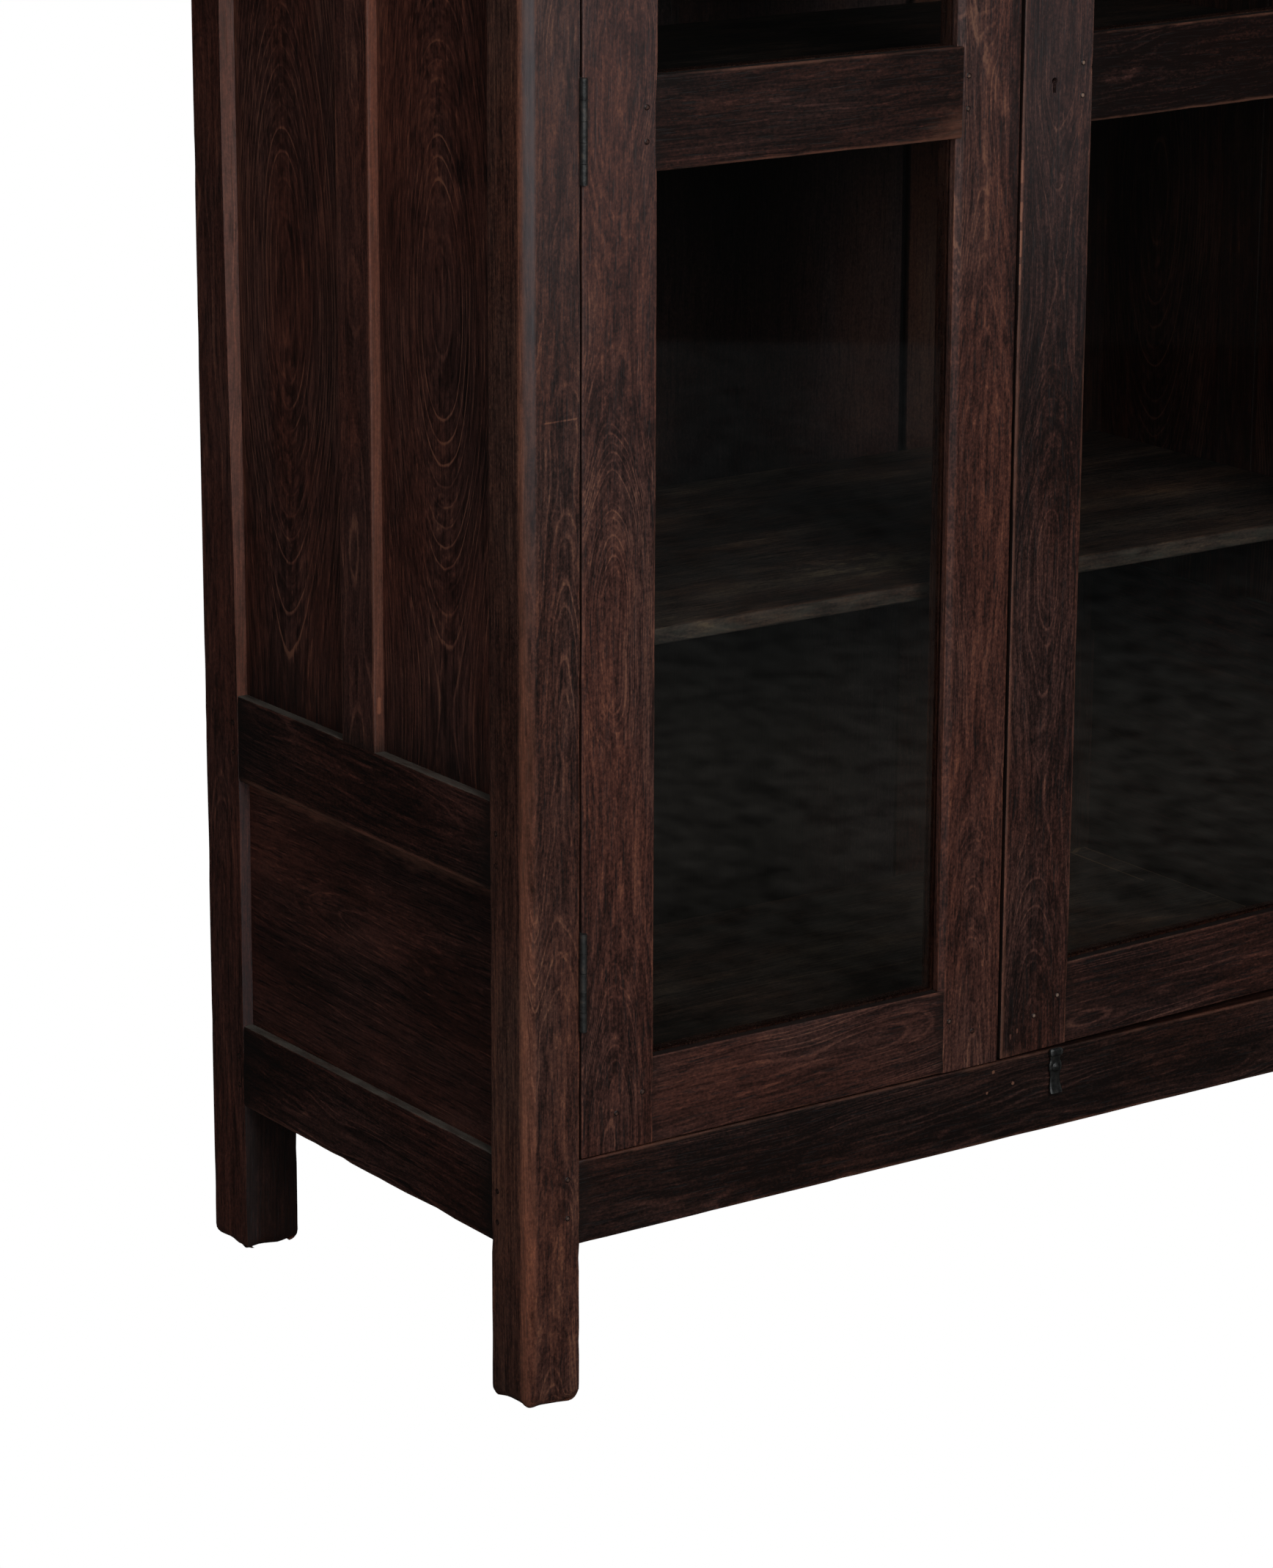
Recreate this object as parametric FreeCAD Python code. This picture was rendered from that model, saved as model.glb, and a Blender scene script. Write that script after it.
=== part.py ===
import FreeCAD, Part
import os
from FreeCAD import Vector as V

# Two-door glazed storage cabinet in dark hardwood.
# Working frame: X = 0 on the left outer face, Y = 0 on the front plane, Z = 0 on the floor, Y to the back.
# Everything is moved at the end so that the origin is at the bottom centre of the whole cabinet.

# ---- driving dimensions, millimetres ----
W = 876.0            # outer width over the posts
D = 450.0            # outer depth over the posts
POST_TOP = 1755.0    # top of the posts and of the top rails
TOP_T = 25.0         # top board thickness
TOP_OVER = 14.0      # top board overhang, front and sides

POST = 47.0          # front post, square
BPOST_Y = 398.0      # front face of the back posts
POST_R = 9.0         # rounding of the outer front corner of a front post
FOOT_C = 2.5         # worn chamfer round the foot

BASE_Z0, BASE_Z1 = 121.6, 186.5     # front base rail
TOPR_Z0, TOPR_Z1 = 1690.0, 1755.0   # top rails
FRAIL_T = 26.0                      # front rail thickness

SIDE_T = 20.0                       # thickness of side rails and muntin
SB_Z0, SB_Z1 = 120.4, 187.7         # side bottom rail
SM_Z0, SM_Z1 = 386.9, 455.5         # side middle rail
MUN_Y0, MUN_Y1 = 201.2, 247.1       # side muntin
PAN_X0, PAN_X1 = 9.0, 16.0          # side panel, measured in from the outer face
GROOVE = 8.0                        # groove depth
PAN_IN = 7.0                        # how far a panel stands in its groove

BACKR_Y0, BACKR_Y1 = 424.0, 446.0   # back rails
BACK_Y0, BACK_Y1 = 427.0, 437.0     # back boards
BACK_GAP = 3.4                      # open shrinkage gap between two back boards
BACK_X = [245.0, 667.0]             # joints between back boards

FLOOR_Z0, FLOOR_Z1 = 177.0, 191.0
FLOOR_Y0 = 27.6
SHELF_T = 13.0
SHELF_TOPS = [563.5, 938.0, 1313.0]
SHELF_Y0 = 43.0
CLEAT_W, CLEAT_H = 14.0, 20.0

DOOR_T = 27.0
LD_X0, LD_X1 = 48.2, 436.4          # left door
RD_X0, RD_X1 = 438.9, 827.8         # right door
LD_Z = dict(z0=187.3, rb=254.0, l0=904.3, l1=971.5, rt=1621.5, z1=1688.5)
RD_Z = dict(z0=187.9, rb=254.0, l0=905.4, l1=971.0, rt=1614.5, z1=1681.5)
RD_RISE = 0.018                     # the right door has racked: its rails rise to the hinge side
L_HST, L_MST = 63.9, 58.5           # left door stiles: hinge side, meeting side
R_HST, R_MST = 64.8, 65.6           # right door stiles
GLASS_Y0, GLASS_Y1 = 8.5, 11.5
REB = 8.0                           # glass rebate width
BEAD_Y1 = 22.0
D_TEN_Y0, D_TEN_Y1 = 10.5, 18.5     # door tenons
D_TEN_L = 45.0

PEG_R = 2.2

HIN_Y = -3.0                        # hinge axis, in front of the front plane
HIN_R = 2.6                         # knuckle radius
PIN_R = 1.25
BORE_R = 1.30
LEAF_T = 1.3
LEAF_Y0, LEAF_Y1 = 0.4, 22.0
HIN_L = 74.0
HIN_Z = [323.2, 937.8, 1552.5]      # hinge centres
KN_GAP = 0.3

KEY_X, KEY_Z = 468.0, 936.5         # keyhole
LOCK_X0, LOCK_X1 = 441.5, 485.5
LOCK_Y0, LOCK_Y1 = 15.0, 27.0
LOCK_Z0, LOCK_Z1 = 911.0, 962.0
BOLT_Y0, BOLT_Y1 = 17.5, 24.5
BOLT_Z0, BOLT_Z1 = 928.0, 944.0
BOLT_X0, BOLT_X1 = 439.6, 472.0
BOLT_TRAVEL = 10.0

TB_X, TB_Z = 493.0, 172.4           # turn button pivot
TB_UP, TB_DOWN = 15.0, 21.5         # short and long arm
TB_W = 12.0
TB_Y0, TB_Y1 = -2.9, -0.6
TB_HOLE_R, TB_SCREW_R = 2.1, 2.0

YC = (D - TOP_OVER) / 2.0           # middle of the whole depth
SHIFT = V(-W / 2.0, -YC, 0)

nodes = {}


def box(x0, x1, y0, y1, z0, z1):
    return Part.makeBox(x1 - x0, y1 - y0, z1 - z0, V(x0, y0, z0))


def rbox(x0, x1, y0, y1, z0, z1, k=0.0, xr=0.0):
    # a block whose lower and upper faces rise by k per millimetre to the right of xr
    if abs(k) < 1e-9:
        return box(x0, x1, y0, y1, z0, z1)
    a, b = k * (x0 - xr), k * (x1 - xr)
    pts = [V(x0, y0, z0 + a), V(x1, y0, z0 + b), V(x1, y0, z1 + b), V(x0, y0, z1 + a)]
    face = Part.Face(Part.makePolygon(pts + [pts[0]]))
    return face.extrude(V(0, y1 - y0, 0))


def cyl(r, p, d, length):
    return Part.makeCylinder(r, length, V(*p), V(*d))


def mirror_x(shape):
    # mirrored about the middle of the cabinet
    return shape.mirror(V(W / 2.0, 0, 0), V(1, 0, 0))


def cut(shape, tools):
    tools = [t for t in tools if t is not None]
    return shape.cut(tools).removeSplitter() if tools else shape


def join(shape, tools):
    return shape.fuse(tools).removeSplitter()


def edges_where(shape, test):
    return [e for e in shape.Edges if test(e)]


def vertical_at(x, y):
    def test(e):
        p = [v.Point for v in e.Vertexes]
        return len(p) == 2 and all(abs(q.x - x) < 1e-3 and abs(q.y - y) < 1e-3 for q in p)
    return test


def at_bottom(e):
    return all(abs(v.Point.z) < 1e-3 for v in e.Vertexes)


# ---- side frames, left; the right side is the mirror image ----
# tenons of the side rails
SIDE_RAILS = {
    "bottom": (SB_Z0, SB_Z1, SB_Z0 + 7.6, SB_Z1 - 9.0),
    "middle": (SM_Z0, SM_Z1, SM_Z0 + 9.0, SM_Z1 - 9.0),
    "top": (TOPR_Z0, TOPR_Z1, TOPR_Z0 + 9.0, TOPR_Z1 - 9.0),
}
ST_X0, ST_X1 = 6.0, 14.0
ST_L = 28.0
side_pegs_z = {"bottom": (161.0, 137.0), "middle": (433.0, 409.0), "top": (1735.0, 1710.0)}


def panel(y0, y1, z0, z1, g):
    return box(PAN_X0, PAN_X1, y0 - g, y1 + g, z0 - g, z1 + g)


panels_at = {
    "lower_panel": (POST, BPOST_Y, SB_Z1, SM_Z0),
    "upper_panel_front": (POST, MUN_Y0, SM_Z1, TOPR_Z0),
    "upper_panel_rear": (MUN_Y1, BPOST_Y, SM_Z1, TOPR_Z0),
}
groove_tools = [panel(*a, GROOVE) for a in panels_at.values()]
left = {}
for name, a in panels_at.items():
    left[name] = panel(*a, PAN_IN)

side_peg_list = []
for name, (z0, z1, t0, t1) in SIDE_RAILS.items():
    rail = box(0, SIDE_T, POST, BPOST_Y, z0, z1)
    ten = [box(ST_X0, ST_X1, POST - ST_L, POST, t0, t1),
           box(ST_X0, ST_X1, BPOST_Y, BPOST_Y + ST_L, t0, t1)]
    rail = join(rail, ten)
    left[name + "_rail"] = rail
    for z in side_pegs_z[name]:
        for y in (POST - 8.5, BPOST_Y + 8.5):
            side_peg_list.append(cyl(PEG_R, (0, y, z), (1, 0, 0), 20.0))

mun_ten_z = [(SM_Z1 - 25.0, SM_Z1), (TOPR_Z0, TOPR_Z0 + 25.0)]
mun_tens = [box(ST_X0, ST_X1, MUN_Y0 + 10, MUN_Y1 - 10, a, b) for a, b in mun_ten_z]
left["muntin"] = cut(join(box(0, SIDE_T, MUN_Y0, MUN_Y1, SM_Z1, TOPR_Z0), mun_tens), groove_tools)
for name in SIDE_RAILS:
    left[name + "_rail"] = cut(left[name + "_rail"], groove_tools + side_peg_list + mun_tens)
side_mortises = []
for name, (z0, z1, t0, t1) in SIDE_RAILS.items():
    side_mortises.append(box(ST_X0, ST_X1, POST - ST_L - 1, POST, t0, t1))
    side_mortises.append(box(ST_X0, ST_X1, BPOST_Y, BPOST_Y + ST_L + 1, t0, t1))

for name, s in left.items():
    nodes["left_" + name] = s
    nodes["right_" + name] = mirror_x(s)

# ---- front and back rails ----
F_TEN_Y0, F_TEN_Y1 = 8.0, 18.0
F_TEN_L = 30.0
B_TEN_Y0, B_TEN_Y1 = 431.0, 440.0
B_TEN_L = 28.0
front_rails = {"front_base_rail": (BASE_Z0, BASE_Z1, (174.0, 144.0)),
               "front_top_rail": (TOPR_Z0, TOPR_Z1, (1736.0, 1708.0))}
back_rails = {"back_bottom_rail": (121.0, 187.0, (168.0, 140.0)),
              "back_top_rail": (TOPR_Z0, TOPR_Z1, (1736.0, 1710.0))}
front_pegs, back_pegs, front_mort, back_mort = [], [], [], []
for name, (z0, z1, pz) in front_rails.items():
    t0, t1 = z0 + 7.0, z1 - 7.0
    rail = box(POST, W - POST, 0, FRAIL_T, z0, z1)
    rail = join(rail, [box(POST - F_TEN_L, POST, F_TEN_Y0, F_TEN_Y1, t0, t1),
                       box(W - POST, W - POST + F_TEN_L, F_TEN_Y0, F_TEN_Y1, t0, t1)])
    front_mort += [box(POST - F_TEN_L - 1, POST, F_TEN_Y0, F_TEN_Y1, t0, t1),
                   box(W - POST, W - POST + F_TEN_L + 1, F_TEN_Y0, F_TEN_Y1, t0, t1)]
    pegs = [cyl(PEG_R, (x, 0, z), (0, 1, 0), 24.0) for x in (36.0, W - 36.0) for z in pz]
    front_pegs += pegs
    nodes[name] = cut(rail, pegs)
back_field = box(POST - GROOVE, W - POST + GROOVE, BACK_Y0, BACK_Y1, 187.0 - GROOVE, TOPR_Z0 + GROOVE)
for name, (z0, z1, pz) in back_rails.items():
    t0, t1 = z0 + 9.0, z1 - 9.0
    rail = box(POST, W - POST, BACKR_Y0, BACKR_Y1, z0, z1)
    rail = join(rail, [box(POST - B_TEN_L, POST, B_TEN_Y0, B_TEN_Y1, t0, t1),
                       box(W - POST, W - POST + B_TEN_L, B_TEN_Y0, B_TEN_Y1, t0, t1)])
    back_mort += [box(POST - B_TEN_L - 1, POST, B_TEN_Y0, B_TEN_Y1, t0, t1),
                  box(W - POST, W - POST + B_TEN_L + 1, B_TEN_Y0, B_TEN_Y1, t0, t1)]
    pegs = [cyl(PEG_R, (x, D, z), (0, -1, 0), 22.0) for x in (36.0, W - 36.0) for z in pz]
    back_pegs += pegs
    nodes[name] = cut(rail, pegs + [back_field])

# ---- back boards: upright, each joint a tongue in a groove ----
bz0, bz1 = 187.0 - PAN_IN, TOPR_Z0 + PAN_IN
xs = [POST - PAN_IN] + BACK_X + [W - POST + PAN_IN]
TONGUE = 7.0
TG_Y0, TG_Y1 = BACK_Y0 + 3.5, BACK_Y1 - 3.5
gaps = [0.0, BACK_GAP]
for i, name in enumerate(("left", "middle", "right")):
    a = xs[i] + (gaps[i - 1] / 2 if i > 0 else 0)
    b = xs[i + 1] - (gaps[i] / 2 if i < 2 else 0)
    s = box(a, b, BACK_Y0, BACK_Y1, bz0, bz1)
    if i < 2:
        s = join(s, [box(b, b + TONGUE + gaps[i], TG_Y0, TG_Y1, bz0, bz1)])
    if i > 0:
        s = cut(s, [box(a, a + TONGUE + 0.5, TG_Y0, TG_Y1, bz0, bz1)])
    nodes["back_board_" + name] = s

# ---- hinge parts on the left; the right set is the mirror image ----
HIN_X = (POST + LD_X0) / 2.0
PL_X0, PL_X1 = HIN_X - 0.1 - LEAF_T, HIN_X - 0.1      # post leaf
DL_X0, DL_X1 = HIN_X + 0.1, HIN_X + 0.1 + LEAF_T      # door leaf
SCREW_Z = (-26.0, 0.0, 26.0)
SCREW_Y = 12.5
SCREW_HEAD_R, SCREW_R, SCREW_L = 2.4, 1.3, 12.0


def knuckles(zc, which, x0, x1, bore):
    n = 5
    step = HIN_L / n
    out, tongues = [], []
    for i in range(n):
        if i % 2 != which:
            continue
        za = zc - HIN_L / 2 + i * step + (KN_GAP / 2 if i > 0 else 0)
        zb = zc - HIN_L / 2 + (i + 1) * step - (KN_GAP / 2 if i < n - 1 else 0)
        out.append(cyl(HIN_R, (HIN_X, HIN_Y, za), (0, 0, 1), zb - za))
        tongues.append(box(x0, x1, HIN_Y, LEAF_Y0, za, zb))
    return out, tongues


def leaf(zc, which, x0, x1, bore):
    plate = box(x0, x1, LEAF_Y0, LEAF_Y1, zc - HIN_L / 2, zc + HIN_L / 2)
    kn, tg = knuckles(zc, which, x0, x1, bore)
    s = join(plate, kn + tg)
    holes = [cyl(SCREW_HEAD_R, (x0, SCREW_Y, zc + dz), (1, 0, 0), x1 - x0) for dz in SCREW_Z]
    return cut(s, [cyl(bore, (HIN_X, HIN_Y, zc - HIN_L / 2 - 1), (0, 0, 1), HIN_L + 2)] + holes)


post_leaves, door_leaves, post_screws, door_screws, pins = [], [], [], [], []
for zc in HIN_Z:
    post_leaves.append(leaf(zc, 0, PL_X0, PL_X1, PIN_R))
    door_leaves.append(leaf(zc, 1, DL_X0, DL_X1, BORE_R))
    pins.append(cyl(PIN_R, (HIN_X, HIN_Y, zc - HIN_L / 2), (0, 0, 1), HIN_L))
    for dz in SCREW_Z:
        head = cyl(SCREW_HEAD_R, (PL_X0, SCREW_Y, zc + dz), (1, 0, 0), LEAF_T)
        post_screws.append(join(head, [cyl(SCREW_R, (PL_X0, SCREW_Y, zc + dz), (-1, 0, 0), SCREW_L)]))
        head = cyl(SCREW_HEAD_R, (DL_X0, SCREW_Y, zc + dz), (1, 0, 0), LEAF_T)
        door_screws.append(join(head, [cyl(SCREW_R, (DL_X1, SCREW_Y, zc + dz), (1, 0, 0), SCREW_L)]))
post_leaf_room = [box(PL_X0, POST + 1, -1, LEAF_Y1, zc - HIN_L / 2, zc + HIN_L / 2) for zc in HIN_Z]
door_leaf_room = [box(LD_X0 - 1, DL_X1, -1, LEAF_Y1, zc - HIN_L / 2, zc + HIN_L / 2) for zc in HIN_Z]
post_screw_room = [cyl(SCREW_R, (POST, SCREW_Y, zc + dz), (-1, 0, 0), POST - PL_X0 + SCREW_L)
                   for zc in HIN_Z for dz in SCREW_Z]
door_screw_room = [cyl(SCREW_R, (LD_X0, SCREW_Y, zc + dz), (1, 0, 0), DL_X1 - LD_X0 + SCREW_L)
                   for zc in HIN_Z for dz in SCREW_Z]

nodes["hinge_post_leaves"] = Part.makeCompound(
    post_leaves + pins + [mirror_x(s) for s in post_leaves + pins])

# ---- posts ----
fp = box(0, POST, 0, POST, 0, POST_TOP)
fp = fp.makeFillet(POST_R, edges_where(fp, vertical_at(0, 0)))
fp = fp.makeChamfer(FOOT_C, edges_where(fp, at_bottom))
fpl = cut(fp, side_mortises + groove_tools + side_peg_list + front_mort + front_pegs + post_leaf_room + post_screw_room)
nodes["front_post_left"] = fpl
nodes["front_post_right"] = mirror_x(fpl)
bp = box(0, POST, BPOST_Y, D, 0, POST_TOP)
bp = bp.makeFillet(3.0, edges_where(bp, vertical_at(0, D)))
bp = bp.makeChamfer(FOOT_C, edges_where(bp, at_bottom))
bpl = cut(bp, side_mortises + groove_tools + side_peg_list + back_mort + back_pegs + [back_field])
nodes["back_post_left"] = bpl
nodes["back_post_right"] = mirror_x(bpl)

nodes["carcass_pegs"] = Part.makeCompound(
    side_peg_list + [mirror_x(s) for s in side_peg_list] + front_pegs + back_pegs)

# ---- floor, shelves, cleats, top ----
C = 0.3


def shelf_shape(y0, y1, z0, z1):
    # full between the side frames, notched round the four posts
    s = box(SIDE_T + C, W - SIDE_T - C, y0, y1, z0, z1)
    tools = []
    for a, b in ((0, POST + C), (W - POST - C, W)):
        tools.append(box(a, b, -1, POST + C, z0 - 1, z1 + 1))
        tools.append(box(a, b, BPOST_Y - C, D, z0 - 1, z1 + 1))
    return cut(s, tools)


nodes["floor_board"] = shelf_shape(FLOOR_Y0, BACKR_Y0, FLOOR_Z0, FLOOR_Z1)
for name, z in zip(("lower_shelf", "middle_shelf", "upper_shelf"), SHELF_TOPS):
    nodes[name] = shelf_shape(SHELF_Y0, BACK_Y0 - 0.5, z - SHELF_T, z)
cleats = [box(SIDE_T, SIDE_T + CLEAT_W, POST, BPOST_Y, z - CLEAT_H, z)
          for z in [FLOOR_Z0] + [t - SHELF_T for t in SHELF_TOPS]]
nodes["left_shelf_cleats"] = Part.makeCompound(cleats)
nodes["right_shelf_cleats"] = Part.makeCompound([mirror_x(s) for s in cleats])

top = box(-TOP_OVER, W + TOP_OVER, -TOP_OVER, D, POST_TOP, POST_TOP + TOP_T)
top = top.makeFillet(4.0, edges_where(top, lambda e: all(v.Point.z > POST_TOP + 1 for v in e.Vertexes)
                                      and not all(abs(v.Point.y - D) < 1e-3 for v in e.Vertexes)))
nodes["top_board"] = top

# ---- doors ----


def door(prefix, x0, x1, zz, sl, sr, k, xr, hinge_left, lock_side_ten):
    """Stiles sl (left) and sr (right) wide, three rails, two panes; k is the rise of the rails to the right."""
    a, b = x0 + sl, x1 - sr                 # pane, left and right
    out = {}
    pegs = []
    panes = [(zz["rb"], zz["l0"]), (zz["l1"], zz["rt"])]
    rebates = [rbox(a - REB, b + REB, GLASS_Y0, DOOR_T + 1, p - REB, q + REB, k, xr) for p, q in panes]
    rails = {"bottom_rail": (zz["z0"], zz["rb"]), "lock_rail": (zz["l0"], zz["l1"]), "top_rail": (zz["rt"], zz["z1"])}
    morts = []
    shapes = {}
    for name, (p, q) in rails.items():
        t0, t1 = p + 11.0, q - 11.0
        ll = lr = D_TEN_L
        if name == "lock_rail" and lock_side_ten:
            if hinge_left:
                lr = lock_side_ten
            else:
                ll = lock_side_ten
        s = rbox(a, b, 0, DOOR_T, p, q, k, xr)
        s = join(s, [rbox(a - ll, a, D_TEN_Y0, D_TEN_Y1, t0, t1, k, xr), rbox(b, b + lr, D_TEN_Y0, D_TEN_Y1, t0, t1, k, xr)])
        morts += [rbox(a - ll - 1, a, D_TEN_Y0, D_TEN_Y1, t0, t1, k, xr), rbox(b, b + lr + 1, D_TEN_Y0, D_TEN_Y1, t0, t1, k, xr)]
        shapes[name] = s
        zc = (p + q) / 2
        for side, e in ((-1, a), (1, b)):
            if name == "lock_rail":
                spots = [(e + side * 9.5, zc + 12.0), (e + side * 9.5, zc - 12.0)]
            else:
                spots = [(e + side * 10.0, zc + 8.0), (e + side * 33.0, zc - 4.0)]
            for x, z in spots:
                pegs.append(cyl(PEG_R, (x, 0, z + k * (x - xr)), (0, 1, 0), 22.0))
    for name in rails:
        out[name] = cut(shapes[name], rebates + pegs)
    out["left_stile"] = cut(rbox(x0, a, 0, DOOR_T, zz["z0"], zz["z1"], k, xr), rebates + morts + pegs)
    out["right_stile"] = cut(rbox(b, x1, 0, DOOR_T, zz["z0"], zz["z1"], k, xr), rebates + morts + pegs)
    g = REB - 1.0
    beads = []
    for (p, q), which in zip(panes, ("lower_glass", "upper_glass")):
        out[which] = rbox(a - g, b + g, GLASS_Y0, GLASS_Y1, p - g, q + g, k, xr)
        beads.append(rbox(a - REB, a, GLASS_Y1, BEAD_Y1, p - REB, q + REB, k, xr))
        beads.append(rbox(b, b + REB, GLASS_Y1, BEAD_Y1, p - REB, q + REB, k, xr))
        beads.append(rbox(a, b, GLASS_Y1, BEAD_Y1, p - REB, p, k, xr))
        beads.append(rbox(a, b, GLASS_Y1, BEAD_Y1, q, q + REB, k, xr))
    out["glazing_beads"] = Part.makeCompound(beads)
    out["pegs"] = Part.makeCompound(pegs)
    return out


ld = door("left", LD_X0, LD_X1, LD_Z, L_HST, L_MST, 0.0, LD_X0, True, 30.0)
rd = door("right", RD_X0, RD_X1, RD_Z, R_MST, R_HST, RD_RISE, RD_X0, False, 17.0)

# hinge leaf pockets and screw holes
ld["left_stile"] = cut(ld["left_stile"], door_leaf_room + door_screw_room)
rd["right_stile"] = cut(rd["right_stile"], [mirror_x(s) for s in door_leaf_room + door_screw_room])

# lock in the back of the right door's meeting stile, with its bolt drawn back
bolt_way = box(RD_X0 - 1, LOCK_X0, BOLT_Y0 - 0.4, BOLT_Y1 + 0.4, BOLT_Z0 - 0.4, BOLT_Z1 + 0.4)
lock_pocket = box(LOCK_X0, LOCK_X1, LOCK_Y0, DOOR_T + 1, LOCK_Z0, LOCK_Z1)
key = join(cyl(2.6, (KEY_X, -1, KEY_Z + 3.2), (0, 1, 0), LOCK_Y0 + 4),
           [box(KEY_X - 1.4, KEY_X + 1.4, -1, LOCK_Y0 + 3, KEY_Z - 5.6, KEY_Z + 3.2)])
rd["left_stile"] = cut(rd["left_stile"], [bolt_way, lock_pocket, key])
case = box(LOCK_X0, LOCK_X1, LOCK_Y0, LOCK_Y1, LOCK_Z0, LOCK_Z1)
hollow = box(LOCK_X0 + 1.5, LOCK_X1 - 1.5, LOCK_Y0 + 1.5, LOCK_Y1 - 1.5, LOCK_Z0 + 1.5, LOCK_Z1 - 1.5)
case = cut(case, [hollow, bolt_way.translated(V(3, 0, 0)), key])
nodes["right_door_lock_case"] = case
nodes["lock_bolt"] = box(BOLT_X0, BOLT_X1, BOLT_Y0, BOLT_Y1, BOLT_Z0, BOLT_Z1)
# the left door's edge takes the bolt
ld["right_stile"] = cut(ld["right_stile"], [box(LD_X1 - BOLT_TRAVEL - 2, LD_X1 + 1, BOLT_Y0 - 0.6, BOLT_Y1 + 0.6,
                                                BOLT_Z0 - 0.6, BOLT_Z1 + 0.6)])

for side, dd, names in (("left", ld, ("hinge_stile", "meeting_stile")), ("right", rd, ("meeting_stile", "hinge_stile"))):
    nodes[side + "_door_" + names[0]] = dd["left_stile"]
    nodes[side + "_door_" + names[1]] = dd["right_stile"]
    for n in ("bottom_rail", "lock_rail", "top_rail", "lower_glass", "upper_glass", "glazing_beads", "pegs"):
        nodes[side + "_door_" + n] = dd[n]
nodes["left_door_hinge_leaves"] = Part.makeCompound(door_leaves)
nodes["right_door_hinge_leaves"] = Part.makeCompound([mirror_x(s) for s in door_leaves])
nodes["left_door_hinge_screws"] = Part.makeCompound(door_screws)
nodes["right_door_hinge_screws"] = Part.makeCompound([mirror_x(s) for s in door_screws])

# ---- turn button on the base rail ----
hw = TB_W / 2.0
tb = box(TB_X - hw, TB_X + hw, TB_Y0, TB_Y1, TB_Z - TB_DOWN + hw, TB_Z + TB_UP - 2.0)
tb = join(tb, [cyl(hw, (TB_X, TB_Y0, TB_Z - TB_DOWN + hw), (0, 1, 0), TB_Y1 - TB_Y0),
               box(TB_X - hw + 1.5, TB_X + hw - 1.5, TB_Y0, TB_Y1, TB_Z + TB_UP - 3.0, TB_Z + TB_UP)])
tb = cut(tb, [cyl(TB_HOLE_R, (TB_X, TB_Y0 - 1, TB_Z), (0, 1, 0), 6.0)])
nodes["turn_button"] = tb
head = Part.makeSphere(5.2, V(TB_X, TB_Y0 - 0.3 + 3.3, TB_Z)).common(
    box(TB_X - 6, TB_X + 6, TB_Y0 - 4.0, TB_Y0 - 0.3, TB_Z - 6, TB_Z + 6))
slot = box(TB_X - 6, TB_X + 6, TB_Y0 - 4.0, TB_Y0 - 1.4, TB_Z - 0.5, TB_Z + 0.5)
tb_screw = cut(join(head, [cyl(TB_SCREW_R, (TB_X, TB_Y0 - 0.4, TB_Z), (0, 1, 0), 19.0)]), [slot])
nodes["front_base_rail"] = cut(nodes["front_base_rail"], [cyl(TB_SCREW_R, (TB_X, -1, TB_Z), (0, 1, 0), 19.0 + TB_Y0 - 0.4 + 1)])
nodes["carcass_screws"] = Part.makeCompound(post_screws + [mirror_x(s) for s in post_screws] + [tb_screw])

# ---- write one file per piece ----
os.makedirs("parts", exist_ok=True)
for old in os.listdir("parts"):
    if old.endswith(".step") and old[:-5] not in nodes:
        os.remove(os.path.join("parts", old))
for name, s in sorted(nodes.items()):
    s = s.copy()
    s.translate(SHIFT)
    ok = s.isValid() and all(t.Volume > 0 for t in s.Solids)
    if not ok or not s.Solids:
        print("CHECK", name, s.isValid(), len(s.Solids))
    if len(s.Solids) == 1 and s.ShapeType == "Compound":
        s = s.Solids[0]
    s.exportStep("parts/" + name + ".step")
print(len(nodes), "nodes")
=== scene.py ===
import math
import bpy
import bmesh
import numpy as np
from mathutils import Matrix, Vector


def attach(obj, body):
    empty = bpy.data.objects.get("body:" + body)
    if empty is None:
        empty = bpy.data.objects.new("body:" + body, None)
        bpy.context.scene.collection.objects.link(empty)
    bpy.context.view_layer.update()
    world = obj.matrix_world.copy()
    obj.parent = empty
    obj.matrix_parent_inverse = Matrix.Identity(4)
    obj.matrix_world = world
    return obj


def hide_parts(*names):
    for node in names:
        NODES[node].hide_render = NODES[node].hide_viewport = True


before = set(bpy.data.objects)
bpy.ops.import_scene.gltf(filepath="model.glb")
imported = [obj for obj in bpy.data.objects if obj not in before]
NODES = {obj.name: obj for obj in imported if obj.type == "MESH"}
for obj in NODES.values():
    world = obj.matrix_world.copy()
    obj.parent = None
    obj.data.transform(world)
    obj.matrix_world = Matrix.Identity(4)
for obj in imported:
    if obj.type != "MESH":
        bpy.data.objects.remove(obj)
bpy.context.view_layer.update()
scene = bpy.context.scene

# Working frame of this file: millimetres, X = 0 on the left outer face, Y = 0 on the front plane, Z = 0 on the floor.
OFF = np.array([438.0, 218.0, 0.0])
W, D = 876.0, 450.0
POST, BPY = 47.0, 398.0
POST_TOP = 1755.0
TOPR0, TOPR1 = 1690.0, 1755.0
SB0, SB1 = 120.4, 187.7
SM0, SM1 = 386.9, 455.5
MY0, MY1 = 201.2, 247.1
LDX = (48.2, 112.1, 377.9, 436.4)
RDX = (438.9, 504.5, 763.0, 827.8)
LDZ = (187.3, 254.0, 904.3, 971.5, 1621.5, 1688.5)
RDZ = (187.9, 254.0, 905.4, 971.0, 1614.5, 1681.5)
RISE = 0.018


def row(p):
    return (np.asarray(p, float) - OFF) / 1000.0


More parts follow.
